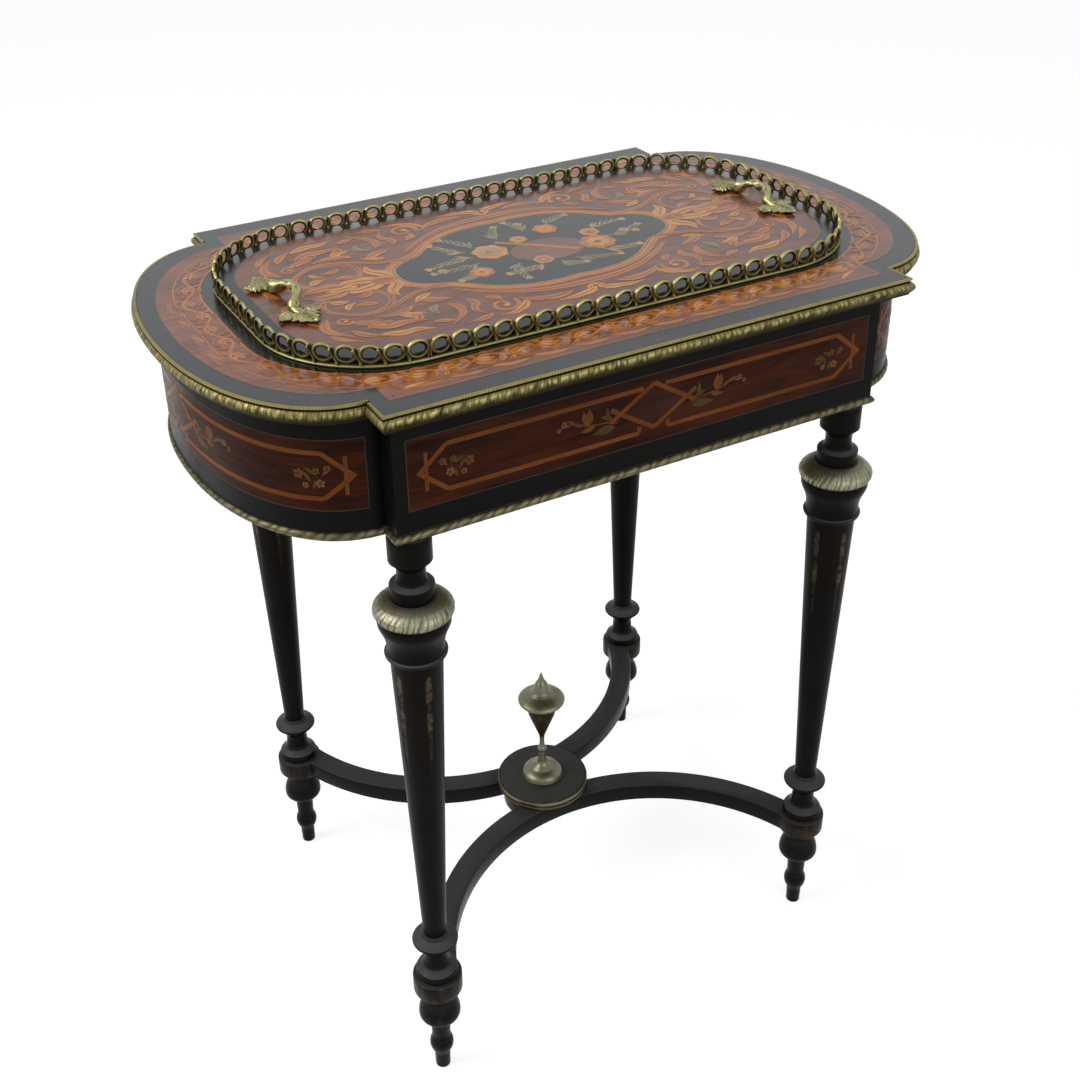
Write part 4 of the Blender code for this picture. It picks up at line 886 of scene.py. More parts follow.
def lay_spiral(scale, x, y, radius, first_turn, turns, half):
    """A strip on a spiral, whose radius r (1 - 0.8 t) and width w (1 - 0.4 t) shrink, round a small eye."""
    t = np.linspace(0, 1, 30)
    path = (x, y) + (radius * (1 - 0.8 * t))[:, None] * direction(first_turn + 2 * math.pi * turns * t)
    tray_work.strip("gold", path * scale, half * (1 - 0.4 * t) * MILLIMETRE)
    eye = SPIRAL_EYE * half * MILLIMETRE
    tray_work.oval("amber", path[-1] * scale, eye, eye, "petal", 10)


for flip in QUARTERS:
    scale = flip * MILLIMETRE
    for wood, first, last, knots in BANDS:
        path = smooth_curve(knots, 36) * scale
        half = np.linspace(first, last, 36) * MILLIMETRE
        tray_work.strip(wood, path, half)
        tray_work.strip("brown", path, 0.14 * half, "vein")
    tray_work.strip("gold", oval_ring * scale, OVAL_LINE * MILLIMETRE, "band", True)
    for wood, half, lobes, knots in FOLIAGE:
        half = half * FOLIAGE_FULLNESS * MILLIMETRE
        tray_work.stroke(wood, np.array(knots) * scale, half, lobes, flip.prod(), "russet")
    for spiral in SPIRALS:
        lay_spiral(scale, *spiral)
print("sheets on the tray so far:", tray_work.laid)

# %% [markdown]
# ## The bunch of flowers
#
# In the cartouche lies a loose bunch: open flowers in warm woods, olive sprays that reach to both ends, and
# a bound stalk across the middle. The flowers could be scattered by chance, but a bunch has an order, so
# they are placed one by one: a flower's row holds its place, radius, number of petals and woods, and a spray's
# row its place, angle, length and bend.

# %% Tray flowers
BUNCH = ((-40, 10, 17.0, 7, ("amber", "pale", "red")), (-68, -28, 11.5, 6, ("red", "amber", "brown")),
         (30, 35, 12.0, 6, ("red", "amber", "pale")), (55, -18, 17.5, 8, ("gold", "amber", "brown")),
         (61, 7, 9.5, 6, ("amber", "gold", "brown")), (91, -5, 5.5, 5, ("pale", "pale", "gold")),
         (100, -11, 4.2, 5, ("pale", "pale", "gold")), (-8, -30, 9.5, 6, ("pale", "red", "amber")),
         (-4, 24, 8.5, 5, ("pale", "amber", "red")), (-96, -9, 5.0, 5, ("pale", "pale", "gold")),
         (14, 58, 4.5, 5, ("pale", "pale", "red")))
SPRAYS = ((-58, 6, 3.05, 44, 0.35), (-60, -8, 3.40, 42, -0.35), (-50, 26, 1.75, 34, 0.5),
          (-60, 20, 2.45, 34, -0.5), (10, 40, 1.45, 26, 0.5), (36, 44, 0.80, 28, -0.6),
          (66, 12, 0.60, 36, -0.7), (72, -10, 0.05, 36, 0.4), (-30, -26, -2.20, 32, 0.6),
          (-12, -38, -2.75, 34, -0.4), (4, -40, -1.20, 20, 0.9), (18, -40, -0.55, 38, 0.4),
          (50, -36, -0.45, 32, 0.5), (-20, 34, 1.50, 28, -0.5), (-72, -36, 2.9, 16, 0.4))
SPRAY_LEAVES = 10
SPRAY_SIZE = 13 * MILLIMETRE
BED_PLACE, BED_HALF = (8, -10), (36 * MILLIMETRE, 25 * MILLIMETRE)
STALK = ((-26, 28), (4, 2), (32, -24))
STALK_HALF, BINDING_HALF = 3.0 * MILLIMETRE, 3.2 * MILLIMETRE

tray_work.oval("brown", np.array(BED_PLACE) * MILLIMETRE, *BED_HALF, "motif", 28)
for k, (x, y, angle, length, bend) in enumerate(SPRAYS):
    woods = ("green", "green", "pale") if k % 3 else ("green", "pale", "amber")
    base = np.array([x, y]) * MILLIMETRE
    tray_work.spray(woods, base, angle, length * MILLIMETRE, bend, SPRAY_LEAVES, SPRAY_SIZE)
stalk = smooth_curve(STALK, 20) * MILLIMETRE
tray_work.strip("gold", stalk, STALK_HALF, "petal")
tray_work.strip("red", stalk[8:12], BINDING_HALF, "vein")
for k, (x, y, radius, petals, woods) in enumerate(BUNCH):
    tray_work.flower(np.array([x, y]) * MILLIMETRE, radius * MILLIMETRE, petals, woods, 0.4 * k)
tray_work.pieces("tray_inlay", LID, "marquetry", top_woods)

# %% [markdown]
# ## The border on the top
#
# Round the tray, the top board carries a rosewood border in the black. Its outer edge follows the step at the
# corners, its inner edge follows the gallery. Next to the inner edge runs a rinceau, a golden stem that waves
# from side to side with leaves in every bend. It could be drawn once and mirrored, but it is one wave that
# goes round corners, so it is given as a distance along the inner edge and a distance out from it.

# %% Ground and stem of the border
BORDER_BLOCK = (0.2325, 0.1955)
BORDER_BOW = (0.3350, 0.1700)
BORDER_INSIDE = (0.2925, 0.1575, 0.1130)
BORDER_LINE = 0.45 * MILLIMETRE
BORDER_LINE_INSET = 5.5
RINCEAU_WAVES = 28
RINCEAU_WIDTH = 22.0
RINCEAU_SWING = 6.2
STEPS_PER_WAVE = 22

top_work = Marquetry(top_woods, on_top)
border_outer = block_and_bows(*BORDER_BLOCK, *BORDER_BOW)
border_line = border_outer - BORDER_LINE_INSET * MILLIMETRE * outward(border_outer)
inner_edge = round_rectangle(*BORDER_INSIDE)
top_work.frame("border", border_outer, same_angles(border_outer, inner_edge))
top_work.strip("brown", border_outer, BORDER_LINE, "band", True)
top_work.strip("brown", border_line, BORDER_LINE, "band", True)
inner_line = Line(inner_edge, True)
wave = inner_line.length / RINCEAU_WAVES


def beside(distance, out):
    """Places so far along the border's inner edge and so many millimetres out from it."""
    spot, normal = inner_line.at(np.asarray(distance, float))
    return spot + normal * (np.broadcast_to(out, np.shape(distance)) * MILLIMETRE)[..., None]


whole = np.linspace(0, inner_line.length, RINCEAU_WAVES * STEPS_PER_WAVE, endpoint=False)
swing = RINCEAU_WIDTH / 2 + RINCEAU_SWING * np.sin(2 * math.pi * whole / wave)
top_work.strip("gold", beside(whole, 0), 0.9 * MILLIMETRE, "band", True)
top_work.strip("gold", beside(whole, RINCEAU_WIDTH + 0.5), 0.5 * MILLIMETRE, "band", True)
top_work.strip("gold", beside(whole, swing), 1.35 * MILLIMETRE, "patch", True)
print(f"border: {RINCEAU_WAVES} waves of {wave / MILLIMETRE:.1f} mm")

# %% [markdown]
# Each half wave of the stem holds the same five leaves and a bud, on the one side and then on the other. A
# second row of small leaves fills what is left of the border, and a leaf that would reach over the outer edge
# isn't laid. In a leaf's list, the first number is a share of a wave and the second is millimetres.

# %% Leaves of the border
RINCEAU_LEAVES = (("gold", 3.7, 2, ((0.03, 12), (0.12, 6), (0.24, 3.5), (0.35, 5.5))),
                  ("amber", 2.7, 1, ((0.08, 14), (0.17, 10.5), (0.27, 9.5), (0.36, 11))),
                  ("gold", 2.4, 1, ((0.47, 12), (0.43, 7), (0.38, 3), (0.30, 1.5))),
                  ("gold", 2.3, 1, ((0.17, 18), (0.27, 21), (0.40, 19.5))),
                  ("amber", 1.8, 0, ((0.10, 16.5), (0.06, 19), (0.00, 20.5))))
BUD_WOODS = ("red", "green", "amber")
BUD_PLACE, BUD_OUT = 0.26, 4.0
BUD_RADIUS = 1.9 * MILLIMETRE
OUTER_WAVES = 44
OUTER_MARGIN = 0.0075
OUTER_LEAVES = (("gold", 2.3, 2, ((0.05, 25.5), (0.35, 28.5), (0.70, 29.5), (1.00, 27.0))),
                ("amber", 1.5, 1, ((0.20, 31.0), (0.45, 26.5), (0.75, 25.0))),
                ("gold", 1.8, 1, ((0.10, 34.5), (0.45, 32.0), (0.85, 33.5))))
DULLER = {"amber": "gold", "gold": "russet"}


def border_leaf(wood, path, half, lobes, side, vein, level="motif"):
    """One leaf of the border. Those on the bowed ends are cut from a duller wood than those along the
    front."""
    on_end = abs(path[:, 0]).mean() > BORDER_BLOCK[0]
    top_work.stroke(DULLER[wood] if on_end else wood, path, half * MILLIMETRE, lobes, side, vein, level)


def within_border(places, margin):
    """True where every place keeps a margin from the border's outer edge, on the block or on the bow."""
    x, y = np.abs(places).T
    on_block = (x < BORDER_BLOCK[0] - margin) & (y < BORDER_BLOCK[1] - margin)
    reach = np.clip((x - BORDER_BLOCK[0]) / (BORDER_BOW[0] - margin - BORDER_BLOCK[0]), 0, None)
    on_bow = reach ** BOW_FULLNESS + (y / (BORDER_BOW[1] - margin)) ** BOW_FULLNESS < 1
    return bool(np.all(on_block | on_bow))


for k in range(2 * RINCEAU_WAVES):
    side = -1 if k % 2 else 1
    for wood, half, lobes, knots in RINCEAU_LEAVES:
        along, out = np.array(knots).T
        out = RINCEAU_WIDTH / 2 + side * (out - RINCEAU_WIDTH / 2)
        border_leaf(wood, beside((k / 2 + along) * wave, out), half, lobes, -side, "russet")
    bud = beside((k / 2 + BUD_PLACE) * wave, RINCEAU_WIDTH / 2 + side * BUD_OUT)
    top_work.oval(BUD_WOODS[k % 3], bud, BUD_RADIUS, BUD_RADIUS, "petal", 9)
outer_wave = inner_line.length / OUTER_WAVES
for k in range(OUTER_WAVES):
    for wood, half, lobes, knots in OUTER_LEAVES:
        along, out = np.array(knots).T
        path = beside((k + along) * outer_wave, out)
        if within_border(path, OUTER_MARGIN):
            border_leaf(wood, path, half, lobes, 1, None, "patch")
top_work.pieces("top_inlay", TABLE, "marquetry", top_woods)

# %% [markdown]
# ## Panels on the sides
#
# Each side of the box has a rosewood panel in the black, edged with a fine line. Golden straps frame two long
# fields, cross at a lozenge in the middle and end in a pointed knot at both ends, with sprays of leaves and
# small flowers in the fields. All four sides share the drawing: front and back are flat, and the bowed ends
# use the same plan rolled round their curve. So a straight strap has to be cut into steps that can bend.

# %% Straps of the side panels
STRAP_HALF = 2.0 * MILLIMETRE
BAR_SHARE = 0.85
THIN_STRAP = 0.8
LOZENGE = (0.0324, 0.0204)
LOZENGE_RAISE = 0.0025
LOZENGE_ARM = 1.28
RAIL_STARTS = {1: 0.0105, -1: 0.0140}
RAIL_FOLD = 0.0062
KNOT_START = 0.034
KNOT_BAR = 0.016
KNOT_TIP = 0.009
KNOT_CROSSING = 0.001
STEPS_PER_METRE = 500

side_work = Marquetry(side_woods)


def side_line(wood, first, last, half, level="motif"):
    """A straight strip, cut into enough steps to bend round a bowed end."""
    first, last = np.asarray(first), np.asarray(last)
    count = 3 + int(STEPS_PER_METRE * abs(last[0] - first[0]))
    side_work.strip(wood, first + np.linspace(0, 1, count)[:, None] * (last - first), half, level)


def strapwork(side, middle, half_bar, corner):
    """One half of the straps: two long rails, a pointed knot with its cross bar, and half of a lozenge whose
    arms run past its side corner."""
    tip = corner + KNOT_START - KNOT_TIP
    bar = side * (corner + KNOT_START - KNOT_BAR)
    heart = middle + LOZENGE_RAISE
    for up in (-1, 1):
        rail = middle + up * half_bar
        side_line("gold", (side * RAIL_STARTS[up], rail), (side * corner, rail), STRAP_HALF)
        side_line("gold", (side * corner, rail), (side * tip, middle - up * KNOT_CROSSING), STRAP_HALF)
        arm_start = (0, heart + up * LOZENGE[1])
        arm_end = (side * LOZENGE_ARM * LOZENGE[0], heart + up * LOZENGE[1] * (1 - LOZENGE_ARM))
        side_line("gold", arm_start, arm_end, STRAP_HALF)
    fold = side * RAIL_STARTS[-1]
    side_line("gold", (fold, middle - half_bar), (fold, middle - half_bar + RAIL_FOLD), STRAP_HALF)
    half_height = BAR_SHARE * half_bar
    side_line("gold", (bar, middle - half_height), (bar, middle + half_height), THIN_STRAP * STRAP_HALF)


# %% [markdown]
# The sprays are listed like the tray's foliage, in millimetres from the lozenge's side corner or from the
# knot's corner: a wood, a place, an angle, a length, a half width and a bend. A tulip grows from a broad leaf
# beside the lozenge, and five small blossoms fill the end of the field. No two sprays on the real table are
# cut quite alike, so each leaf is turned a little by a seeded chance, which is the same on every run.

# %% Sprays in the side panels
TULIP = (("olive", 5, -10, 0.12, 22, 3.9, -0.2), ("olive", 7, -4, 0.75, 14, 2.0, -0.5),
         ("olive", 11, -2, 1.15, 12, 1.8, 0.5), ("tan", 30, -2, 1.00, 15, 3.0, 0.6),
         ("tan", 30, -2, 2.00, 14, 3.0, -0.6), ("gold", 30, -2, 1.50, 15, 2.6, 0.0),
         ("tan", 24, -4, -0.35, 14, 2.3, 0.5), ("olive", 35, -1, 0.30, 12, 1.7, 0.4),
         ("tan", 43, 2, 0.80, 9, 1.4, -0.6), ("tan", 47, 3, -0.25, 9, 1.3, 0.5))
TULIP_STEM = ((3, -7), (16, -4), (32, -2), (46, 3), (56, 2))
TULIP_BUDS = ((53, 5, 2.6, "pale"), (58, 0, 2.2, "pale"))
NOSEGAY = (("olive", -22, -3, 0.5, 11, 1.7, 0.5), ("olive", -15, 3, -0.9, 11, 1.6, -0.4),
           ("olive", -6, 1, 2.4, 11, 1.7, 0.4), ("olive", -4, -2, -2.2, 11, 1.6, 0.3),
           ("brown", -10, -3, 0.1, 12, 2.0, 0.4), ("tan", 0, 1, 0.9, 9, 1.4, -0.4),
           ("olive", -8, -9, 0.3, 10, 1.5, 0.5))
BLOSSOMS = ((-19, 1, 4.6, "tan"), (-14, -8, 2.8, "pale"), (-5, 5, 3.4, "tan"),
            (-2, -6, 3.8, "pale"), (4, 6, 3.4, "tan"))
LEAF_TURN = 0.12
BLOSSOM_SHIFT = 1
BLOSSOM_PETALS = 5
BLOSSOM_BROAD = 0.6


def lay_spray(side, base, leaves, blossoms, rng):
    """Leaves and five-petalled blossoms about a base, mirrored on the left half and each turned a little."""
    for wood, u, v, angle, length, half, bend in leaves:
        spot = base + np.array([side * u, v]) * MILLIMETRE
        angle = angle + rng.uniform(-LEAF_TURN, LEAF_TURN)
        heading = angle if side > 0 else math.pi - angle
        side_work.leaf(wood, spot, heading, length * MILLIMETRE, half * MILLIMETRE, side * bend)
    for u, v, radius, wood in blossoms:
        spot = base + np.array([side * u, v + rng.uniform(-BLOSSOM_SHIFT, BLOSSOM_SHIFT)]) * MILLIMETRE
        woods = (wood, "gold", "brown")
        side_work.flower(spot, radius * MILLIMETRE, BLOSSOM_PETALS, woods, rng.uniform(0, 1), BLOSSOM_BROAD)


# %% Side panels
PANEL_LOW = 0.0192
PANEL_HIGH = 0.0200
PANEL_MARGIN = 0.0115
STRAP_INSET = 0.0110
EDGE_LINE = 0.45 * MILLIMETRE
STEM_HALF = 0.5 * MILLIMETRE


def draw_panel(place, half_length, seed):
    """One side panel: ground, edge line, lozenge, straps and sprays."""
    side_work.place = place
    low, high = APRON_LOW + PANEL_LOW, APRON_TOP - PANEL_HIGH
    edge = half_length - PANEL_MARGIN
    middle = (low + high) / 2
    corner = edge - KNOT_START
    side_line("rosewood", (-edge, middle), (edge, middle), (high - low) / 2, "ground")
    for v in (low, high):
        side_line("line", (-edge, v), (edge, v), EDGE_LINE, "band")
    for u in (-edge, edge):
        side_line("line", (u, low), (u, high), EDGE_LINE, "band")
    u = np.linspace(-LOZENGE[0], LOZENGE[0], 31)
    heart = np.stack([u, np.full(31, middle + LOZENGE_RAISE)], -1)
    side_work.strip("brown", heart, LOZENGE[1] * (1 - np.abs(u) / LOZENGE[0]), "patch")
    rng = np.random.default_rng(seed)
    for side in (-1, 1):
        strapwork(side, middle, (high - low) / 2 - STRAP_INSET, corner)
        tulip_base = np.array([side * LOZENGE[0], middle + LOZENGE_RAISE])
        stem = tulip_base + smooth_curve(TULIP_STEM, 16) * (side, 1) * MILLIMETRE
        side_work.strip("gold", stem, STEM_HALF)
        lay_spray(side, tulip_base, TULIP, TULIP_BUDS, rng)
        lay_spray(side, np.array([side * corner, middle]), NOSEGAY, BLOSSOMS, rng)


draw_panel(on_front, APRON_X, 11)
draw_panel(on_back, APRON_X, 23)
draw_panel(on_bow(1), apron_bow.length / 2, 37)
draw_panel(on_bow(-1), apron_bow.length / 2, 41)
side_work.pieces("side_inlay", TABLE, "marquetry", side_woods)

# %% [markdown]
# ## Boards with smooth curves
#
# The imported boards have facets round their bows. Their smooth selves are rings of loops: the same outline at
# several heights, with the edges eased as a cabinet maker would ease them with fine paper. A Bevel modifier
# could ease them too, but the loops also carry how much each edge is rubbed.

# %% Eased boards
EASE = 0.6 * MILLIMETRE
LEAST_RUBBED = 0.30


def eased_loops(outline, bottom, top, ease, steps=4):
    """Loops up the side of a board whose two edges are quarter rounds: inset = e (1 - sin), rise = e (1 -
    cos)."""
    turn = np.linspace(0, math.pi / 2, steps)
    inset = ease * (1 - np.sin(turn))
    rise = ease * (1 - np.cos(turn))
    normal = outward(outline)
    lower = [(outline - normal * i, bottom + r) for i, r in zip(inset, rise)]
    upper = [(outline - normal * i, top - r) for i, r in zip(inset, rise)]
    return loops_at(*lower, *upper[::-1])


def eased_board(outline, bottom, top, ease=EASE, wear=0.0):
    """A board with eased edges; the relief value says how much its edges and its sides are rubbed."""
    loops = eased_loops(outline, bottom, top, ease)
    rubbed = np.zeros(loops.shape[:2])
    rubbed[1:-1] = np.maximum(wear, LEAST_RUBBED)
    rubbed[3:5] = wear
    return Shell().tube(loops, relief=rubbed)


# %% Top board and tray board
TOP_MOULDING_DEPTH = 0.0050
SEAT = 0.0003
LID_ROOM = 0.0008
LEDGE_WIDTH = 0.012
behind = TOP_MOULDING_DEPTH + SEAT
board_edge = block_and_bows(BLOCK_X - behind, BLOCK_Y - behind, BOW_X - behind, BOW_Y - behind)
recess_edge = round_rectangle(LID_X + LID_ROOM, LID_Y + LID_ROOM, LID_CORNER + LID_ROOM)
well_edge = round_rectangle(LID_X - LEDGE_WIDTH, LID_Y - LEDGE_WIDTH, LID_CORNER - LEDGE_WIDTH)
recess = same_angles(board_edge, recess_edge)
well = same_angles(board_edge, well_edge)
lid_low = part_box("lid_panel")[0]
ledge_z = lid_low.z - SEAT
top_loops = loops_at((board_edge, top_low.z), (board_edge, TOP_Z), (recess, TOP_Z),
                     (recess, ledge_z), (well, ledge_z), (well, top_low.z))
Shell().tube(top_loops, True).piece("top_panel", TABLE, "marquetry", black_polish, ["top_board"])
tray_edge = round_rectangle(LID_X, LID_Y, LID_CORNER)
eased_board(tray_edge, lid_low.z, LID_Z).piece("tray_panel", LID, "marquetry", black_polish, ["lid_panel"])

# %% Bowed ends and liner
BOW_BOARD = 0.014
LINER_WALL = 0.0015
LINER_LIP = 0.0004
LINER_FLOOR_ROUND = 0.004
for name, side in (("right", 1), ("left", -1)):
    inner = side * bow_points(APRON_BOW_START, APRON_BOW_X - BOW_BOARD, APRON_BOW_Y - BOW_BOARD, 160)
    outer = side * bow_points(APRON_BOW_START, APRON_BOW_X, APRON_BOW_Y, 160)
    loops = loops_at((outer, APRON_LOW), (outer, APRON_TOP), (inner, APRON_TOP), (inner, APRON_LOW))
    bow_shell = Shell().tube(loops.swapaxes(0, 1))
    bow_shell.piece(f"bowed_end_{name}", TABLE, "rosewood", black_side, [f"apron_{name}"])

liner_low, liner_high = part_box("zinc_liner")
liner_corner = LID_CORNER - (LID_X - liner_high.x)
liner_out = round_rectangle(liner_high.x, liner_high.y, liner_corner)
liner_in = liner_out - LINER_WALL * outward(liner_out)
lip = liner_out - 0.5 * LINER_WALL * outward(liner_out)
lip_z = liner_high.z - LINER_LIP
floor_z = liner_low.z + LINER_WALL
folds = [(liner_out, liner_low.z), (liner_out, lip_z), (lip, liner_high.z), (liner_in, lip_z)]
for angle in np.linspace(0, math.pi / 2, 5):
    inset = LINER_FLOOR_ROUND * (1 - math.cos(angle)) * outward(liner_in)
    folds.append((liner_in - inset, floor_z + LINER_FLOOR_ROUND * (1 - math.sin(angle))))
liner_shell = Shell().tube(loops_at(*folds))
liner_shell.piece("folded_liner", TABLE, "zinc", metals["dull_zinc"], ["zinc_liner"])

# %% [markdown]
# ## Stamped mouldings
#
# The brass mouldings are stamped in long strips: a milled fillet over slanting ribs and uneven knobs on the
# top edge, and a small rope under the box. A moulding is a profile carried along a path. A bevelled curve
# could do that, but its profile is the same everywhere. Here the relief is added to the profile as a height
# that depends on the distance along and on the place across, and it tells the patina where the hollows are.
# The same value also paints shade on the lower part of both mouldings.

# %% Moulding sections
KNOB_PITCH = 0.0078
RIB_PITCH = 0.0031
MILL_PITCH = 0.0024
ROPE_PITCH = 0.0105
STAMPED_DEPTH = 0.32 * MILLIMETRE
ROPE_DEPTH = 0.22 * MILLIMETRE
FILLET_TO, TORUS_FROM, TORUS_TO = 0.12, 0.20, 0.93
FILLET_SET_BACK, GROOVE_SET_BACK = 0.45, 0.66


def cosine_row(phase):
    """Even bumps from 0 to 1, one for each whole number of the phase."""
    return 0.5 + 0.5 * np.cos(2 * math.pi * phase)


def leaf_moulding(run, depth, height):
    """The top moulding: across is the share of the height from the top. A milled fillet set back by a share
    of the depth, a groove behind it, then a torus, inset g - g sin(pi t^0.8), with slanting ribs and an
    uneven row of round knobs, exp(-(along / 0.24)^2 - (across / 0.17)^2), then a lip."""
    across = np.concatenate([np.linspace(0, FILLET_TO, 4), np.linspace(0.14, TORUS_FROM, 3),
                             np.linspace(0.22, TORUS_TO, 18), np.linspace(0.95, 1.0, 3)])
    on_line = across <= FILLET_TO
    torus = np.clip((across - TORUS_FROM) / (TORUS_TO - TORUS_FROM), 0, 1)
    swell = np.sin(math.pi * torus ** 0.8)
    inset = np.where(on_line, FILLET_SET_BACK, GROOVE_SET_BACK * (1 - swell))
    wander = 0.30 * np.sin(110 * run) + 0.20 * np.sin(290 * run + 1) + 0.12 * np.sin(730 * run + 2)
    phase = np.mod(run / KNOB_PITCH + wander, 1)[:, None] - 0.5
    crest = 0.34 + 0.07 * np.sin(400 * run)[:, None]
    knob = np.exp(-(phase / 0.24) ** 2 - ((torus - crest) / 0.17) ** 2)
    rib = cosine_row((run / RIB_PITCH + 2 * wander)[:, None] + 0.9 * torus)
    leaf = np.clip(0.40 + 0.50 * knob + 0.36 * (rib - 0.5), 0, 1) * np.sqrt(np.maximum(swell, 0))
    mill = (0.5 + 0.5 * np.cos(2 * math.pi * run / MILL_PITCH))[:, None]
    raised = np.where(on_line, 0.5 * mill, leaf)
    inset = inset * depth + STAMPED_DEPTH * (1 - raised)
    drop = np.broadcast_to(across * height, inset.shape)
    # Painted shade: the torus grows darker towards its lower edge; the groove and the lip under it are nearly
    # black.
    body = np.where(swell > 0.25, (0.22 + 0.36 * knob + 0.14 * rib) * (1.15 - 0.80 * torus), 0.02)
    shade = np.where(on_line, 0.34 + 0.30 * mill, body)
    return np.maximum(inset, 0.0), drop, shade


def rope_moulding(run, depth, height):
    """The lower moulding: a half round, inset = d (0.95 - 0.80 sin), with a slight slanting rope."""
    across = np.linspace(0, 1, 13)
    round_out = np.sin(math.pi * across)
    uneven = 0.16 * np.sin(170 * run) + 0.10 * np.sin(410 * run + 1)
    twist = cosine_row((run / ROPE_PITCH + uneven)[:, None] + 0.9 * across)
    inset = depth * (0.95 - 0.80 * round_out) - ROPE_DEPTH * twist * round_out
    drop = np.broadcast_to(across * height, inset.shape)
    # Painted shade: the rope grows darker towards its lower edge.
    return np.maximum(inset, 0.0), drop, 0.12 + (0.22 + 0.34 * twist) * round_out * (1.2 - 0.7 * across)


# %% [markdown]
# The front and back strips turn back round the step at the corners, so their path has mitres, as a frame has.
# The strips on the ends follow the bows.

# %% Moulding strips
BASE_MOULDING_DEPTH = 0.0035
SMOOTH_METAL = 60


def mitred_path(corners, spacing):
    """Points and outward normals along straight runs. A corner's normal is the mitre (n1 + n2) / (1 + n1 .
    n2), and along a run the normal goes evenly from one mitre to the next."""
    ahead = np.diff(corners, axis=0)
    length = np.linalg.norm(ahead, axis=1)
    normal = np.stack([ahead[:, 1], -ahead[:, 0]], -1) / length[:, None]
    mitre = (normal[:-1] + normal[1:]) / (1 + (normal[:-1] * normal[1:]).sum(1))[:, None]
    mitre = np.concatenate([normal[:1], mitre, normal[-1:]])
    counts = np.maximum(2, (length / spacing).astype(int))
    points = [straight(corners[k], corners[k + 1], count) for k, count in enumerate(counts)]
    normals = [straight(mitre[k], mitre[k + 1], count) for k, count in enumerate(counts)]
    return np.concatenate(points + [corners[-1:]]), np.concatenate(normals + [mitre[-1:]])


def moulding_piece(prefix, side, points, normals, depth, section, metal):
    """Carries a section along a path and closes it at the back."""
    low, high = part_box(f"{prefix}_{side}")
    inset, drop, shade = section(run_along(points), depth, high.z - low.z)
    back = np.full((len(points), 1), depth)
    inset = np.concatenate([back, inset, back], 1)
    drop = np.concatenate([drop[:, :1], drop, drop[:, -1:]], 1)
    shade = np.concatenate([shade[:, :1], shade, shade[:, -1:]], 1)
    flat = points[:, None, :] - normals[:, None, :] * inset[..., None]
    shell = Shell().tube(np.concatenate([flat, (high.z - drop)[..., None]], -1), relief=shade)
    shell.piece(f"{prefix}_strip_{side}", TABLE, "brass", metal, [f"{prefix}_{side}"], SMOOTH_METAL)


def mouldings(prefix, depth, section, spacing, metal):
    """The four strips of one moulding: front and back turn back at the notches, the ends follow the bows."""
    front_low, front_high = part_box(f"{prefix}_front")
    right_low, right_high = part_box(f"{prefix}_right")
    x, y = front_high.x, -front_low.y
    end_y = front_high.y
    straight_run = mitred_path(np.array([(-x, end_y), (-x, -y), (x, -y), (x, end_y)]), spacing)
    curve = Line(bow_points(right_low.x, right_high.x, right_high.y, 1600))
    bowed_run = curve.at(np.linspace(0, curve.length, int(curve.length / spacing)))
    for side, flip, (points, normals) in (("front", 1, straight_run), ("back", -1, straight_run),
                                          ("right", 1, bowed_run), ("left", -1, bowed_run)):
        moulding_piece(prefix, side, flip * points, flip * normals, depth, section, metal)


mouldings("top_moulding", TOP_MOULDING_DEPTH, leaf_moulding, 0.6 * MILLIMETRE, metals["stamped_brass"])
mouldings("base_moulding", BASE_MOULDING_DEPTH, rope_moulding, 0.7 * MILLIMETRE, metals["base_brass"])

# %% [markdown]
# ## Pierced gallery
#
# The gallery is a brass strip bent round the tray: a flat foot, a row of rings, and a small post in each
# gap between rings. A ring is an oval that touches its neighbours, with a lower oval opening, and a post
# leans from one side to the other like an S. An array of a torus along a curve could give the rings, but
# they follow the bend, so they aren't flat. Their points are taken at a distance along the gallery's line
# and a height, and that rolls them round the corners.

# %% Gallery line and foot
FOOT_WIDTH = 0.0040
FOOT_HEIGHT = 0.0032
FOOT_ROOM = 0.0008
FOOT_SECTION = np.array([(1.0, 0.0), (1.0, 1.2), (0.7, 1.8), (0.55, 3.0), (0.40, 3.6)])
# Painted light: a highlight on the foot's ledge, painted shade at its bottom and under the rings.
FOOT_PAINTED_LIGHT_AND_SHADE = np.array([0.04, 0.42, 0.36, 0.10, 0.04])
FOOT_STEP = 0.003

gallery_low, gallery_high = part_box("gallery_front")
to_middle = FOOT_ROOM + FOOT_WIDTH / 2
gallery_line = Line(round_rectangle(LID_X + to_middle, LID_Y + to_middle, LID_CORNER + to_middle, 120), True)
ring_base = gallery_low.z + FOOT_HEIGHT
print(f"gallery: {gallery_line.length:.3f} m round")


def along_gallery(distance, out, z):
    """Places at a distance along the gallery, so far outside its middle line, at a height."""
    distance, out, z = np.broadcast_arrays(distance, out, z)
    spot, normal = gallery_line.at(distance)
    return np.concatenate([spot + normal * out[..., None], z[..., None]], -1)


def gallery_foot(shell, first, last):
    """The foot's section, mirrored, carried along the strip."""
    run = np.linspace(first, last, int((last - first) / FOOT_STEP))[:, None]
    half = FOOT_SECTION * (FOOT_WIDTH / 2, MILLIMETRE)
    section = np.concatenate([half, half[::-1] * (-1, 1)])
    rings = along_gallery(run, section[:, 0], gallery_low.z + section[:, 1])
    shell.tube(rings, relief=np.concatenate([FOOT_PAINTED_LIGHT_AND_SHADE, FOOT_PAINTED_LIGHT_AND_SHADE[::-1]]))


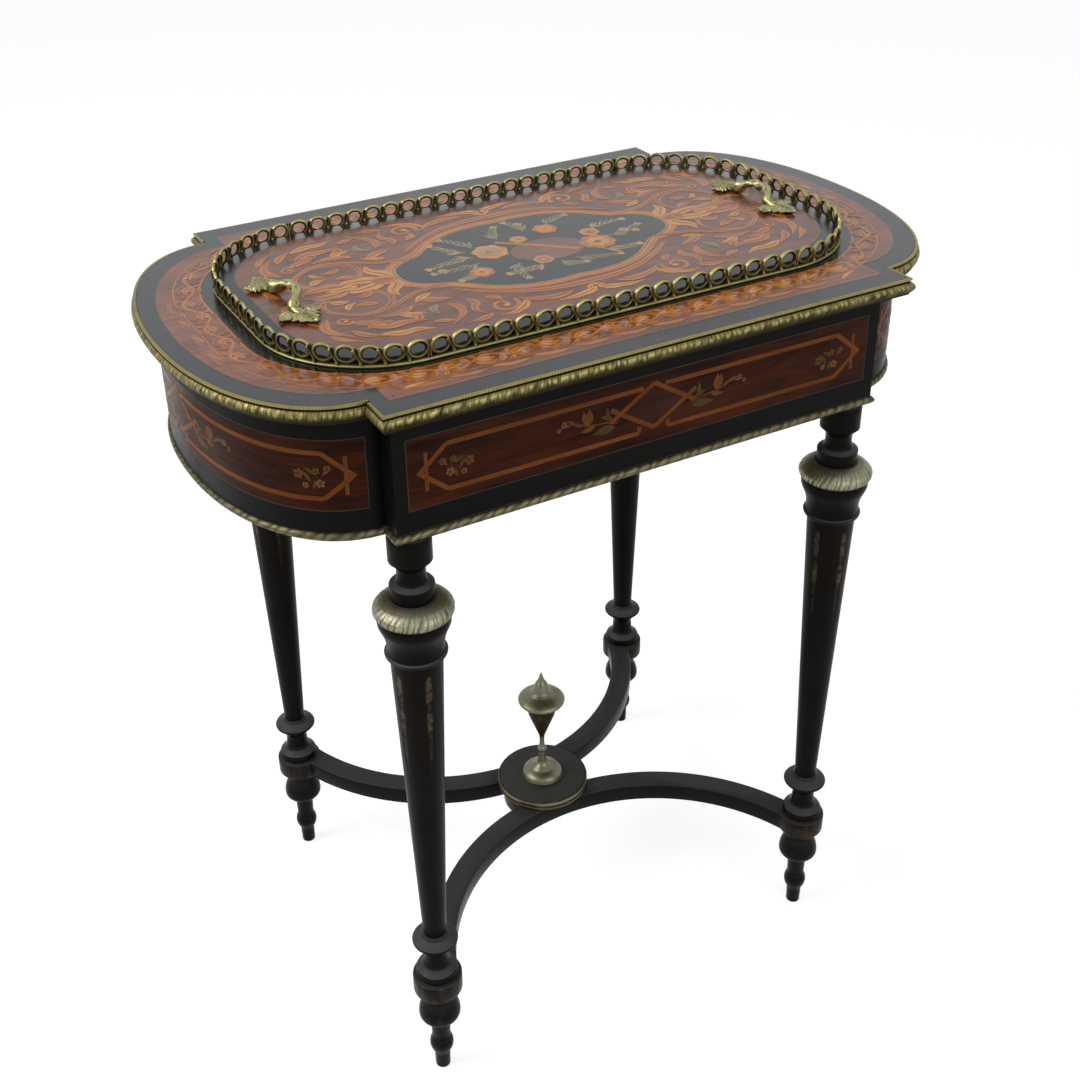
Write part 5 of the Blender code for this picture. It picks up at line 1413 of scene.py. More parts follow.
# %% Rings and posts
RING_OPENING = (5.7 * MILLIMETRE, 4.7 * MILLIMETRE)
RING_HALF_LENGTH = 9.3 * MILLIMETRE
RING_SHEET = 1.6 * MILLIMETRE
RING_PAINTED_SHADE = 0.42
PAINTED_SHADE_TURN = 0.55
POST_SINK = 0.0006
ring_half_height = (gallery_high.z - ring_base) / 2
around_wire = full_turn(8)


def gallery_ring(shell, centre):
    """Points between a low oval opening and the outside: (1 - s) inner + s outer, with s = (1 + cos w) / 2.

    Painted shade darkens the opening's edge, most of it in the upper right; the ring grows lighter upwards."""
    turn = full_turn(24)[:, None]
    s = (1 + np.cos(around_wire)) / 2
    along = ((1 - s) * RING_OPENING[0] + s * RING_HALF_LENGTH) * np.cos(turn)
    up = ((1 - s) * RING_OPENING[1] + s * ring_half_height) * np.sin(turn)
    rings = along_gallery(centre + along, RING_SHEET * np.sin(around_wire), ring_base + ring_half_height + up)
    # Painted shade darkens the opening's edge, most of it in the upper right.
    painted_shade = RING_PAINTED_SHADE * np.clip(np.sin(turn + PAINTED_SHADE_TURN), 0, 1)
    shade = np.clip(0.02 + 1.1 * (s - painted_shade), 0, 0.72) * (0.78 + 0.22 * np.sin(turn))
    shell.tube(rings, True, relief=shade)


def gallery_post(shell, place, girth, height, lean=0.0):
    """A small round post of changing girth on the foot; it bends by lean cos(pi t), from side to side.

    Its left side is painted bright and its right side painted in shade: shade = 0.30 - 0.44 cos w."""
    share = np.linspace(0, 1, len(girth))[:, None]
    girth = girth[:, None]
    along = place + lean * np.cos(math.pi * share) + girth * np.cos(around_wire)
    rings = along_gallery(along, girth * np.sin(around_wire), ring_base - POST_SINK + height * share)
    # Painted light and shade: the post's left side is bright, its right side dark.
    shell.tube(rings, relief=np.clip(0.30 - 0.44 * np.cos(around_wire), 0, 0.68))


# %% Gallery strips
RING_PITCH = 0.0185
POST_HEIGHT = 0.0134
POST_LEAN = 2.7 * MILLIMETRE
END_BAR_HALF = 1.0 * MILLIMETRE
END_BAR_HEIGHT = 0.0150
STRIP_GAP = 0.00015
rise = np.linspace(0, 1, 12)
post_girth = 0.0019 + 0.0006 * np.exp(-(rise / 0.15) ** 2) + 0.0006 * np.exp(-((rise - 0.80) / 0.20) ** 2)
post_girth *= np.sqrt(np.clip((1.03 - rise) / 0.12, 0.1, 1))


def gallery_piece(side, start, length):
    """One strip: a foot, rings at an even pitch, posts between them and a bar at both ends."""
    shell = Shell()
    count = round(length / RING_PITCH)
    pitch = length / count
    gallery_foot(shell, start + STRIP_GAP, start + length - STRIP_GAP)
    for centre in start + pitch * (np.arange(count) + 0.5):
        gallery_ring(shell, centre)
    for place in start + pitch * np.arange(1, count):
        gallery_post(shell, place, post_girth, POST_HEIGHT, POST_LEAN)
    for place in (start + END_BAR_HALF + STRIP_GAP, start + length - END_BAR_HALF - STRIP_GAP):
        gallery_post(shell, place, np.full(6, END_BAR_HALF), END_BAR_HEIGHT)
    shell.piece(f"ring_gallery_{side}", LID, "brass", metals["gallery_brass"], [f"gallery_{side}"])


front_run = 2 * (LID_X - LID_CORNER)
end_run = math.pi * (LID_CORNER + to_middle) + 2 * (LID_Y - LID_CORNER)
start = 0.0
for side, length in (("front", front_run), ("right", end_run), ("back", front_run), ("left", end_run)):
    gallery_piece(side, start, length)
    start += length

# %% [markdown]
# ## Leaf handles
#
# Each lifting handle is cast as a bent twig that grows three leaves at both ends. It could be sculpted by
# hand, but a formula serves both ends and both handles. The twig is a tube along a smooth curve, with knots
# in its radius. A leaf is a closed skin: half the columns of its grid run over the veined upper side and
# half come back underneath.

# %% Twig and leaf surfaces
TWIG_SIDES = 14
LEAF_SHEET = 0.0009
LEAF_LEAST = 0.0004
LEAF_RISE = 0.0046
LEAF_CURL = 0.0024
VEIN_HEIGHT = 0.0007
RIB_DEPTH = 0.0008


def bark(share, turn):
    """Uneven bark: 1 + 0.10 sin(3 turn + 21 share) + 0.06 sin(5 turn - 47 share)."""
    return 1 + 0.10 * np.sin(3 * turn + 21 * share) + 0.06 * np.sin(5 * turn - 47 * share)


def sweep(path, girth, turn, ripple):
    """Rings round a path in space: across and above are square to it, and the radius is girth times
    ripple."""
    ahead = np.gradient(path, axis=0)
    ahead /= np.linalg.norm(ahead, axis=1, keepdims=True)
    across = np.cross(ahead, (0, 0, 1.0))
    across /= np.linalg.norm(across, axis=1, keepdims=True)
    above = np.cross(across, ahead)
    swing = (girth[:, None] * np.cos(turn) * ripple)[..., None]
    lift = (girth[:, None] * np.sin(turn) * ripple)[..., None]
    return path[:, None, :] + across[:, None, :] * swing + above[:, None, :] * lift


def cast_leaf(shell, base, angle, length, half_width, floor):
    """A lobed leaf: half width w sin(pi t^0.75) (1 + 0.22 cos 9 pi t), domed across by 1 - 0.75 s^2, with a
    sunk rib and veins; its tip curls up by c t^2."""
    t = np.linspace(0.02, 0.99, 26)
    wide = half_width * np.sin(math.pi * t ** 0.75) * (1 + 0.22 * np.cos(9 * math.pi * t)) + LEAF_LEAST
    s = np.linspace(-1, 1, 9)
    ahead = np.array([math.cos(angle), math.sin(angle)])
    aside = np.array([-ahead[1], ahead[0]])
    over = np.concatenate([s, s[-2:0:-1]])
    upper = np.arange(len(over)) < len(s)
    dome = LEAF_RISE * np.sin(math.pi * t ** 0.6)[:, None] * (1 - 0.75 * over ** 2)
    vein = VEIN_HEIGHT * np.cos(2 * math.pi * (7 * t[:, None] - 1.2 * np.abs(over)))
    rib = -RIB_DEPTH * np.exp(-(over / 0.16) ** 2)
    curl = LEAF_CURL * t[:, None] ** 2
    height = curl + np.where(upper, LEAF_SHEET + dome + (vein + rib) * (1 - over ** 2), 0.0)
    flat = np.asarray(base) + (length * t)[:, None, None] * ahead + (wide[:, None] * over)[..., None] * aside
    rings = np.concatenate([flat, (floor + height)[..., None]], -1)
    shade = np.where(upper, 0.55 + 400 * vein + 300 * rib, 0.1)
    shell.tube(rings, relief=np.clip(shade, 0.0, 1.0))


# %% Handles
HANDLE_FEET = 0.0255
HANDLE_LEAN = 0.011
HANDLE_ROD = 0.0033
HANDLE_LEAVES = ((0.0, 0.0285, 1.75, 0.0295, 0.0108), (-0.004, 0.0320, 2.75, 0.0170, 0.0068),
                 (0.004, 0.0290, 0.75, 0.0160, 0.0062), (0.0, -0.0285, -1.30, 0.0300, 0.0110),
                 (-0.004, -0.0310, -2.50, 0.0170, 0.0068), (0.005, -0.0280, -0.35, 0.0170, 0.0064))
TWIG_ROUND = 0.0034
TWIG_SWELLINGS = ((0.19, 0.07, 0.0022), (0.81, 0.07, 0.0022), (0.42, 0.03, 0.0007), (0.62, 0.03, 0.0007))
TWIG_THINNEST = 0.0015
SMOOTH_CASTING = 55
along_twig = np.linspace(0, 1, 60)
round_twig = full_turn(TWIG_SIDES)
twig_bark = bark(along_twig[:, None], round_twig)
twig_shade = np.clip(0.55 + 2.5 * (twig_bark - 1), 0.1, 1)
twig_girth = TWIG_ROUND + sum(swell * np.exp(-((along_twig - place) / wide) ** 2)
                              for place, wide, swell in TWIG_SWELLINGS)
for side in ("left", "right"):
    low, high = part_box(f"handle_{side}")
    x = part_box(f"handle_screw_front_{side}")[0].x / 2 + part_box(f"handle_screw_front_{side}")[1].x / 2
    shoulder = (x + 0.7 * HANDLE_LEAN, low.z + 0.0105)
    knots = [(x + 0.004, 0.040, low.z + 0.0030), (x, HANDLE_FEET, low.z + 0.0045),
             (shoulder[0], 0.0135, shoulder[1]), (x + HANDLE_LEAN, 0.0, high.z - HANDLE_ROD),
             (shoulder[0], -0.0135, shoulder[1]), (x, -HANDLE_FEET, low.z + 0.0045),
             (x + 0.003, -0.040, low.z + 0.0030)]
    twig = smooth_curve(knots, len(along_twig))
    girth = np.minimum(twig_girth, np.maximum(twig[:, 2] - low.z, TWIG_THINNEST))
    rings = sweep(twig, girth, round_twig, twig_bark)
    rings[..., 2] = np.maximum(rings[..., 2], low.z)
    handle_shell = Shell().tube(rings, relief=twig_shade)
    for dx, y, angle, length, wide in HANDLE_LEAVES:
        cast_leaf(handle_shell, (x + dx, y), angle, length, wide, low.z)
    handle_shell.piece(f"leaf_handle_{side}", LID, "brass", metals["handle_brass"], [f"handle_{side}"],
                       SMOOTH_CASTING)

# %% [markdown]
# ## Turned legs
#
# A leg is turned on a lathe, so it is one profile spun round an axis. The profile is a list of stretches
# from the bottom up, each a bead, a cove or a straight taper, stacked on one another. The Screw modifier
# could spin it, but a grid that is worked out point by point can also be cut by grooves and carry a value
# for the finish.

# %% Turning helpers
def bead(z, height, side, crown, count=9, power=0.7):
    """A rounded bump: r = side + (crown - side) sin(pi t)^power."""
    t = np.linspace(0, 1, count)
    return np.stack([side + (crown - side) * np.sin(math.pi * t) ** power, z + height * t], -1)


def taper(z, height, first, last, count=2):
    """A straight stretch from one radius to another."""
    return np.stack([np.linspace(first, last, count), z + height * np.linspace(0, 1, count)], -1)


def cove(z, height, first, last, count=9):
    """A hollow between two radii: the shape of a quarter ellipse that opens upwards or downwards."""
    t = np.linspace(0, 1, count)
    bend = 1 - np.cos(t * math.pi / 2) if last > first else np.sin(t * math.pi / 2)
    return np.stack([first + (last - first) * bend, z + height * t], -1)


def spun(profile, centre, segments, radius_change=0.0):
    """Rings of a profile of (radius, height) turned round a vertical axis."""
    turn = full_turn(segments)
    radius = profile[:, :1] + radius_change
    x = centre[0] + radius * np.cos(turn)
    y = centre[1] + radius * np.sin(turn)
    return np.stack([x, y, np.broadcast_to(profile[:, 1:], x.shape)], -1)


# %% Leg profile
COLLAR_HEIGHT = 0.0160
COLLAR_CORE = 0.0195
SHAFT_LOW = 0.0540
SHAFT_LENGTH = 0.3200
RIM_HEIGHT = 0.0098
leg_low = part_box("leg_front_left")[0].z
collar_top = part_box("leg_collar_front_left")[1].z
head_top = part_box("base_board")[0].z - SEAT
collar_foot = collar_top - COLLAR_HEIGHT
neck_low = leg_low + SHAFT_LOW
shaft_high = neck_low + SHAFT_LENGTH
rim_low = collar_foot - RIM_HEIGHT
quarter = np.linspace(0, math.pi / 2, 7)
ovolo = np.stack([0.0229 + 0.0037 * np.sin(quarter),
                  shaft_high + 0.0006 + 0.0042 * (1 - np.cos(quarter))], -1)
drum_rim = np.stack([0.0178 + 0.0010 * np.cos(quarter), collar_top + 0.0124 + 0.0012 * np.sin(quarter)], -1)
leg_profile = np.concatenate([
    taper(leg_low, 0.0008, 0.0178, 0.0188), bead(leg_low + 0.0010, 0.0072, 0.0190, 0.0200, 9, 0.45),
    cove(leg_low + 0.0086, 0.0074, 0.0190, 0.0122), taper(leg_low + 0.0164, 0.0110, 0.0118, 0.0112, 4),
    cove(leg_low + 0.0278, 0.0140, 0.0112, 0.0190), bead(leg_low + 0.0422, 0.0050, 0.0192, 0.0216, 9, 0.45),
    cove(leg_low + 0.0480, 0.0040, 0.0186, 0.0124, 7), taper(leg_low + 0.0524, 0.0012, 0.0120, 0.0112, 3),
    taper(neck_low, SHAFT_LENGTH, 0.0108, 0.0224, 250), ovolo,
    taper(shaft_high + 0.0050, 0.0006, 0.0264, 0.0246), taper(shaft_high + 0.0060, 0.0056, 0.0244, 0.0244, 3),
    cove(shaft_high + 0.0118, rim_low - shaft_high - 0.0120, 0.0244, 0.0300),
    bead(rim_low, 0.0094, 0.0300, 0.0308, 9, 0.5), taper(collar_foot - 0.0002, 0.0001, 0.0290, COLLAR_CORE),
    taper(collar_foot, COLLAR_HEIGHT, COLLAR_CORE, COLLAR_CORE, 3),
    taper(collar_top + 0.0003, 0.0118, 0.0186, 0.0188, 4), drum_rim,
    taper(collar_top + 0.0139, 0.0014, 0.0176, 0.0140, 4),
    cove(collar_top + 0.0155, 0.0062, 0.0138, 0.0121, 7),
    taper(collar_top + 0.0219, 0.0050, 0.0121, 0.0121, 3), cove(collar_top + 0.0271, 0.0092, 0.0122, 0.0180),
    taper(collar_top + 0.0365, head_top - collar_top - 0.0371, 0.0183, 0.0183, 4),
    taper(head_top - 0.0003, 0.0003, 0.0180, 0.0150)])
print("leg profile:", len(leg_profile), "points, shaft up to", round(shaft_high, 4))

# %% [markdown]
# Five shallow grooves run down from the head of the shaft, and remains of gilding show in them: two bright
# lengths with a worn one after each. The grooves could be cut with a Boolean, but they are so shallow that
# the leg's radius only has to drop a little. The gilding is a value on the points, which the finish turns
# into flakes of gold. The drop below is in millimetres from the upper end of a groove.

# %% Gilded grooves
LEG_SEGMENTS = 160
GROOVES = 5
GROOVE_DEPTH = 0.35 * MILLIMETRE
GROOVE_EDGE = 0.8 * MILLIMETRE
GROOVE_START = 0.0115
GROOVE_DROP = (-2.5, 2, 24, 28, 35.5, 39, 56, 60.5, 90, 108)
GROOVE_HALF = (0, 2.7, 2.7, 1.6, 1.6, 2.6, 2.4, 1.6, 1.2, 0)
GILT_LEFT = (0.4, 1, 1, 0.35, 0.35, 1, 0.90, 0.40, 0.25, 0)
turn = full_turn(LEG_SEGMENTS)
nearest = np.mod(turn + math.pi / 2 + math.pi / GROOVES, 2 * math.pi / GROOVES) - math.pi / GROOVES
leg_drop = (shaft_high - GROOVE_START - leg_profile[:, 1]) / MILLIMETRE
groove_half = np.interp(leg_drop, GROOVE_DROP, GROOVE_HALF, 0, 0)[:, None] * MILLIMETRE
inside = np.clip((groove_half - np.abs(nearest) * leg_profile[:, :1]) / GROOVE_EDGE + 0.5, 0, 1)
groove = np.where(groove_half > 0, inside, 0.0)
gilding = groove * np.interp(leg_drop, GROOVE_DROP, GILT_LEFT)[:, None]
print("points of a leg with gilding:", int((gilding > 0).sum()), "of", gilding.size)

# %% [markdown]
# The brass collar is stamped with a wreath of slanting leaves. It is a spun profile too, and the leaves are
# a change of its radius. Their pitch wanders a little, as it does on old stampings. The foot is a squat bun
# on a slender toe.

# %% Collar profile
COLLAR_LEAVES = 40
COLLAR_SEGMENTS = 256
COLLAR_RELIEF = 0.6 * MILLIMETRE
COLLAR_LIFT = (0, 0.06, 0.20, 0.35, 0.50, 0.65, 0.80, 0.93, 1.0)
COLLAR_RADIUS = (30.5, 32.3, 33.5, 33.8, 33.0, 31.0, 28.0, 23.5, 19.9)
around = full_turn(COLLAR_SEGMENTS)
lift = np.linspace(0, 1, 27)[:, None]
collar_profile = np.concatenate([np.interp(lift, COLLAR_LIFT, COLLAR_RADIUS) * MILLIMETRE,
                                 collar_foot + COLLAR_HEIGHT * lift], 1)
wander = 0.22 * np.sin(9 * around) + 0.16 * np.sin(23 * around + 1)
leaf_phase = np.mod(around * COLLAR_LEAVES / (2 * math.pi) + wander - 0.9 * lift, 1) - 0.5
leafy = np.sin(math.pi * np.clip((lift - 0.04) / 0.88, 0, 1)) ** 0.7
ribbed = 0.75 + 0.25 * np.cos(6 * math.pi * leaf_phase + 7 * lift)
collar_relief = (1 - (2 * leaf_phase) ** 2) * ribbed * leafy
# Painted shade on the bottom edge of the collar, which also grows lighter towards its top.
collar_shade = np.where(lift < 0.05, 0.05, 0.12 + 0.58 * collar_relief + 0.22 * lift)
collar_shade = np.concatenate([collar_shade, np.zeros((2, COLLAR_SEGMENTS))])
inner_wall = np.array([(COLLAR_CORE + SEAT, collar_top), (COLLAR_CORE + SEAT, collar_foot)])
print("collar:", COLLAR_LEAVES, "leaves,", len(collar_profile), "rows")

# %% Foot profile
FOOT_SEGMENTS = 40
FOOT_RUB = 0.2
BUN = ((9.8, 66.0), (13.2, 68.4), (17.0, 71.0), (19.4, 74.0), (20.2, 77.5),
       (19.7, 83.0), (18.0, 89.0), (15.6, 94.0), (13.9, 97.0))
foot_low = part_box("foot_front_left")[0].z
foot_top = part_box("stretcher_front")[0].z - SEAT
bun = smooth_curve(BUN, 26) * MILLIMETRE
foot_profile = np.concatenate([
    taper(foot_low, 0.0010, 0.0052, 0.0066), taper(foot_low + 0.0014, 0.0210, 0.0072, 0.0078, 6),
    cove(foot_low + 0.0226, 0.0030, 0.0080, 0.0102, 5), bead(foot_low + 0.0260, 0.0130, 0.0102, 0.0116, 9),
    cove(foot_low + 0.0392, 0.0030, 0.0102, 0.0090, 5), taper(foot_low + 0.0424, 0.0232, 0.0089, 0.0097, 5),
    bun + (0, foot_low), taper(foot_low + 0.0974, 0.0026, 0.0137, 0.0139, 3),
    cove(foot_low + 0.1002, 0.0060, 0.0140, 0.0170, 7), taper(foot_low + 0.1064, 0.0030, 0.0172, 0.0174, 3),
    taper(foot_top - 0.0003, 0.0003, 0.0165, 0.0150)])
foot_rub = FOOT_RUB * (foot_profile[:, :1] / foot_profile[:, 0].max()) ** 3
print("foot profile:", len(foot_profile), "points")

# %% Legs, collars and feet
CORNERS = ("front_left", "front_right", "back_left", "back_right")
SMOOTH_TURNING = 50
collar_change = COLLAR_RELIEF * (collar_relief - 0.5 * leafy)
for corner in CORNERS:
    low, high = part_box(f"leg_{corner}")
    centre = ((low.x + high.x) / 2, (low.y + high.y) / 2)
    leg_shell = Shell().tube(spun(leg_profile, centre, LEG_SEGMENTS, -GROOVE_DEPTH * groove), relief=gilding)
    leg_shell.piece(f"turned_leg_{corner}", TABLE, "ebonised", black_turned, [f"leg_{corner}"],
                    SMOOTH_TURNING)
    outer = spun(collar_profile, centre, COLLAR_SEGMENTS, collar_change)
    wall = spun(inner_wall, centre, COLLAR_SEGMENTS)
    collar_shell = Shell().tube(np.concatenate([outer, wall]), True, relief=collar_shade)
    collar_shell.piece(f"leaf_collar_{corner}", TABLE, "brass", metals["collar_brass"],
                       [f"leg_collar_{corner}"], SMOOTH_METAL)
    foot_shell = Shell().tube(spun(foot_profile, centre, FOOT_SEGMENTS), relief=foot_rub)
    foot_shell.piece(f"turned_foot_{corner}", TABLE, "ebonised", black_frame, [f"foot_{corner}"],
                     SMOOTH_TURNING)

# %% [markdown]
# ## Stretcher and hub
#
# Two flat bows lie back to back with a block between them, and a round hub covers the joint. Their plans are
# circular arcs with a round pad under each leg. A curve with a square bevel could give the arcs but not the
# pads, so the plans are drawn as outlines and made into eased boards.

# %% Stretcher bows
BAR_WIDTH = 0.0235
BAR_APEX = 0.029
BAR_INSET = 0.009
PAD_RADIUS = 0.0235
BAR_EASE = 1.6 * MILLIMETRE
PAD_WEAR = 0.5
WEAR_REACH = 0.02
leg_x = (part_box("leg_front_right")[0].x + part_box("leg_front_right")[1].x) / 2
leg_y = (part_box("leg_back_right")[0].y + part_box("leg_back_right")[1].y) / 2
bar_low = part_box("stretcher_front")[0].z
bar_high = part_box("stretcher_front")[1].z
sagitta = leg_y - BAR_APEX
arc_radius = ((leg_x - BAR_INSET) ** 2 + sagitta ** 2) / (2 * sagitta)
arc_centre = BAR_APEX + arc_radius
reach = math.hypot(leg_x, arc_centre - leg_y)
leg_angle = math.atan2(leg_x, arc_centre - leg_y)


def on_arc(radius, angle):
    """Places on a circle about the back bow's centre, at angles from its foremost point."""
    return np.stack([radius * np.sin(angle), arc_centre - radius * np.cos(angle)], -1)


def arc_points(centre, first, last, count):
    """Counter-clockwise arc about a centre from one point to another, both left out."""
    a = math.atan2(*(first - centre)[::-1])
    b = math.atan2(*(last - centre)[::-1])
    b += 2 * math.pi if b < a else 0
    return centre + np.linalg.norm(first - centre) * direction(np.linspace(a, b, count + 2)[1:-1])


def bar_edge(radius):
    """One edge of the bar, from pad to pad: it ends where it runs into the pad's circle."""
    end = leg_angle - math.acos((reach ** 2 + radius ** 2 - PAD_RADIUS ** 2) / (2 * reach * radius))
    return on_arc(radius, np.linspace(-end, end, 90))


near_edge = bar_edge(arc_radius + BAR_WIDTH / 2)
far_edge = bar_edge(arc_radius - BAR_WIDTH / 2)[::-1]
right_pad = arc_points(np.array([leg_x, leg_y]), near_edge[-1], far_edge[0], 40)
left_pad = arc_points(np.array([-leg_x, leg_y]), far_edge[-1], near_edge[0], 40)
back_bar = np.concatenate([near_edge, right_pad, far_edge, left_pad])
from_leg = np.linalg.norm(np.abs(back_bar) - (leg_x, leg_y), axis=1)
pad_wear = PAD_WEAR * np.clip(1 - (from_leg - PAD_RADIUS) / WEAR_REACH, 0, 1)
for side, flip in (("back", 1), ("front", -1)):
    shell = eased_board(flip * back_bar, bar_low, bar_high, BAR_EASE, pad_wear)
    shell.piece(f"stretcher_bow_{side}", TABLE, "ebonised", black_frame, [f"stretcher_{side}"])

# %% Hub block and hub
HUB_BLOCK = 0.0430
HUB_SEGMENTS = 96
BLOCK_EASE = 0.5 * MILLIMETRE
MIDDLE = (0, 0)
block_side = arc_radius + BAR_WIDTH / 2 + SEAT
corner_y = (arc_centre ** 2 + HUB_BLOCK ** 2 - block_side ** 2) / (2 * arc_centre)
half_side = math.acos((arc_centre - corner_y) / block_side)
half_end = math.asin(corner_y / HUB_BLOCK)
block_half = np.concatenate([HUB_BLOCK * direction(np.linspace(-half_end, half_end, 16)),
                             on_arc(block_side, np.linspace(half_side, -half_side, 24))[1:-1]])
block_shell = eased_board(np.concatenate([block_half, -block_half]), bar_low, bar_high, BLOCK_EASE)
block_shell.piece("stretcher_block", TABLE, "ebonised", black_frame, ["hub_block"])

hub_low, hub_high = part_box("stretcher_hub")
hub_r = hub_high.x
hub_profile = np.concatenate([
    taper(hub_low.z, 0.0006, hub_r - 0.0012, hub_r - 0.0002),
    taper(hub_low.z + 0.0010, 0.0086, hub_r, hub_r, 4),
    bead(hub_high.z - 0.0013, 0.0009, hub_r - 0.0004, hub_r, 5),
    taper(hub_high.z - 0.0002, 0.0002, hub_r - 0.0012, hub_r - 0.003)])
hub_shell = Shell().tube(spun(hub_profile, MIDDLE, HUB_SEGMENTS), relief=0.0)
hub_shell.piece("round_hub", TABLE, "ebonised", black_frame, ["stretcher_hub"])

# %% Hub ring
RING_RIDGES = 2
RING_SEGMENTS = 120
ring_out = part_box("hub_ring")[1].x
ring_in = hub_r + SEAT
ring_foot, ring_crown = hub_low.z + SEAT, hub_high.z - SEAT
ring_turn = np.linspace(0, 1, 25)
ridges = np.abs(np.sin(RING_RIDGES * math.pi * ring_turn))
ring_profile = np.stack([ring_in + 0.0007 + (ring_out - ring_in - 0.0009) * ridges ** 0.7,
                         ring_foot + (ring_crown - ring_foot) * ring_turn], -1)
ring_wall = np.array([(ring_in, ring_crown), (ring_in, ring_foot)])
# Painted light: the upper ridge is painted brighter than the lower one, which is in shade.
ring_painted_light = np.interp(ring_turn, (0, 0.5, 1), (0.35, 0.55, 1.0))
ring_shade = np.concatenate([(0.06 + 0.6 * ridges) * ring_painted_light, [0.3, 0.3]])
ring_rings = spun(np.concatenate([ring_profile, ring_wall]), MIDDLE, RING_SEGMENTS)
ring_shell = Shell().tube(ring_rings, True, relief=ring_shade[:, None])
ring_shell.piece("ridged_hub_ring", TABLE, "brass", metals["finial_brass"], ["hub_ring"])

# %% [markdown]
# ## Urn
#
# The brass urn on the hub is turned like the legs, in three parts that a rod holds together: a domed base
# with a neck, a stem with a cup, and a cover like a saucer with a spire. Their hollow sides change too
# softly for coves, so they are smooth profiles through a few heights and radii.

# %% Urn
def turned_brass(name, node, profile, rub):
    """A turned part of the urn; rub says how bright it is, all over or at each point of its profile."""
    shell = Shell().tube(spun(profile, MIDDLE, 64), relief=rub)
    shell.piece(name, TABLE, "brass", metals["finial_brass"], [node], SMOOTH_TURNING)


def through(heights, radii, count):
    """A smooth profile through a few heights and radii."""
    return smooth_curve(np.stack([radii, heights], -1), count)


base_low, base_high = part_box("finial_base")
base_r = base_high.x
dome_turn = np.linspace(0.06, 0.95, 12)
dome = np.stack([(base_r - 0.0006) * np.cos(dome_turn),
                 base_low.z + 0.0032 + 0.0092 * np.sin(dome_turn)], -1)
dome_top = dome[-1, 1]
neck = through([dome_top + 0.0003, dome_top + 0.0022, base_high.z - 0.0030, base_high.z],
               [0.0122, 0.0098, 0.0060, 0.0047], 10)
base_profile = np.concatenate([taper(base_low.z, 0.0004, base_r - 0.0006, base_r - 0.0001),
                               bead(base_low.z + 0.0005, 0.0024, base_r - 0.0004, base_r, 7), dome, neck])
turned_brass("urn_base", "finial_base", base_profile, 0.55)

# %% Urn cup and cover
MOUTH_RADIUS = 0.0172
KNOP_RISE = 0.0120
CUP_RISE = 0.0352
CUP_RAISE = 0.0024
CUP_FLARE = 0.0294
urn_low, urn_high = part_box("finial_urn")
knop_low = urn_low.z + KNOP_RISE
cup_low = urn_low.z + CUP_RISE
mouth = urn_high.z + CUP_RAISE
urn_profile = np.concatenate([
    cove(urn_low.z, 0.0110, 0.0046, 0.0036, 7), bead(knop_low, 0.0074, 0.0034, 0.0051, 11, 0.7),
    through([knop_low + 0.0076, urn_low.z + 0.0266, cup_low], [0.0032, 0.0025, 0.0030], 7),
    taper(cup_low + 0.0002, 0.0290, 0.0032, 0.0139, 10),
    taper(cup_low + CUP_FLARE, mouth - cup_low - CUP_FLARE, 0.0140, MOUTH_RADIUS, 5)])
turned_brass("urn_cup", "finial_urn", urn_profile, np.where(urn_profile[:, 1:] < cup_low, 0.5, 0.12))

cover_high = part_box("finial_cover")[1]
cover_r, tip = cover_high.x, cover_high.z
saucer = mouth + SEAT
rim = saucer + 0.0046
under = np.stack([MOUTH_RADIUS + (cover_r - MOUTH_RADIUS) * np.sin(quarter),
                  saucer + 0.0042 * (1 - np.cos(quarter))], -1)
crown = through([rim, rim + 0.0020, rim + 0.0044, rim + 0.0062, rim + 0.0074, rim + 0.0090, rim + 0.0112,
                 tip - 0.0150, tip - 0.0105, tip - 0.0068, tip - 0.0030, tip],
                [cover_r, 0.0236, 0.0200, 0.0160, 0.0134, 0.0112, 0.0092,
                 0.0066, 0.0039, 0.0024, 0.0014, 0.0003], 52)
cover_profile = np.concatenate([taper(saucer, 0.0001, 0.0120, 0.0160), under[1:], crown])
turned_brass("urn_cover", "finial_cover", cover_profile, 0.6)

# %% [markdown]
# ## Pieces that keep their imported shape
#
# The flat boards, the corner posts and what hides inside are right as they are. They only need a finish.

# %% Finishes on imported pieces
KEPT = {
    black_side: ["apron_front", "apron_back"] + [f"corner_post_{corner}" for corner in CORNERS],
    bare_poplar: ["base_board", "glue_cleat_front", "glue_cleat_back"],
    metals["turned_steel"]: ["finial_rod", "finial_nut"] + [f"handle_screw_{corner}" for corner in CORNERS],
}
for material, names in KEPT.items():
    for name in names:
        nodes[name].data.materials.clear()
        nodes[name].data.materials.append(material)
print("kept:", sum(len(names) for names in KEPT.values()), "packed pieces")

# %% [markdown]
# ## Floor and light
#
# The photo is a cut-out on white. The floor is a wide pale plane, which adds a little light of its own for
# the camera and for reflections, so that it reads as white and still takes the table's shadow. The sky is
# white for those rays too, and a quiet grey for the light it gives. A broad lamp from the upper left and a
# softer one from the front do the rest.

# %% Floor and world
FLOOR_HALF = 14.0
FLOOR_GREY = (0.55, 0.55, 0.55, 1)
FLOOR_GLOW = 0.74
SKY_COLOUR = (0.95, 0.98, 1.0, 1)
SKY_LIGHT, SKY_SEEN = 0.38, 1.0


def seen_rays(tree):
    """1 for rays that the camera, a reflection or a glass sends out, else 0."""
    path = add_node(tree, "ShaderNodeLightPath").outputs
    seen = math_node(tree, "MAXIMUM", path["Is Camera Ray"], path["Is Glossy Ray"])
    return math_node(tree, "MAXIMUM", seen, path["Is Transmission Ray"])


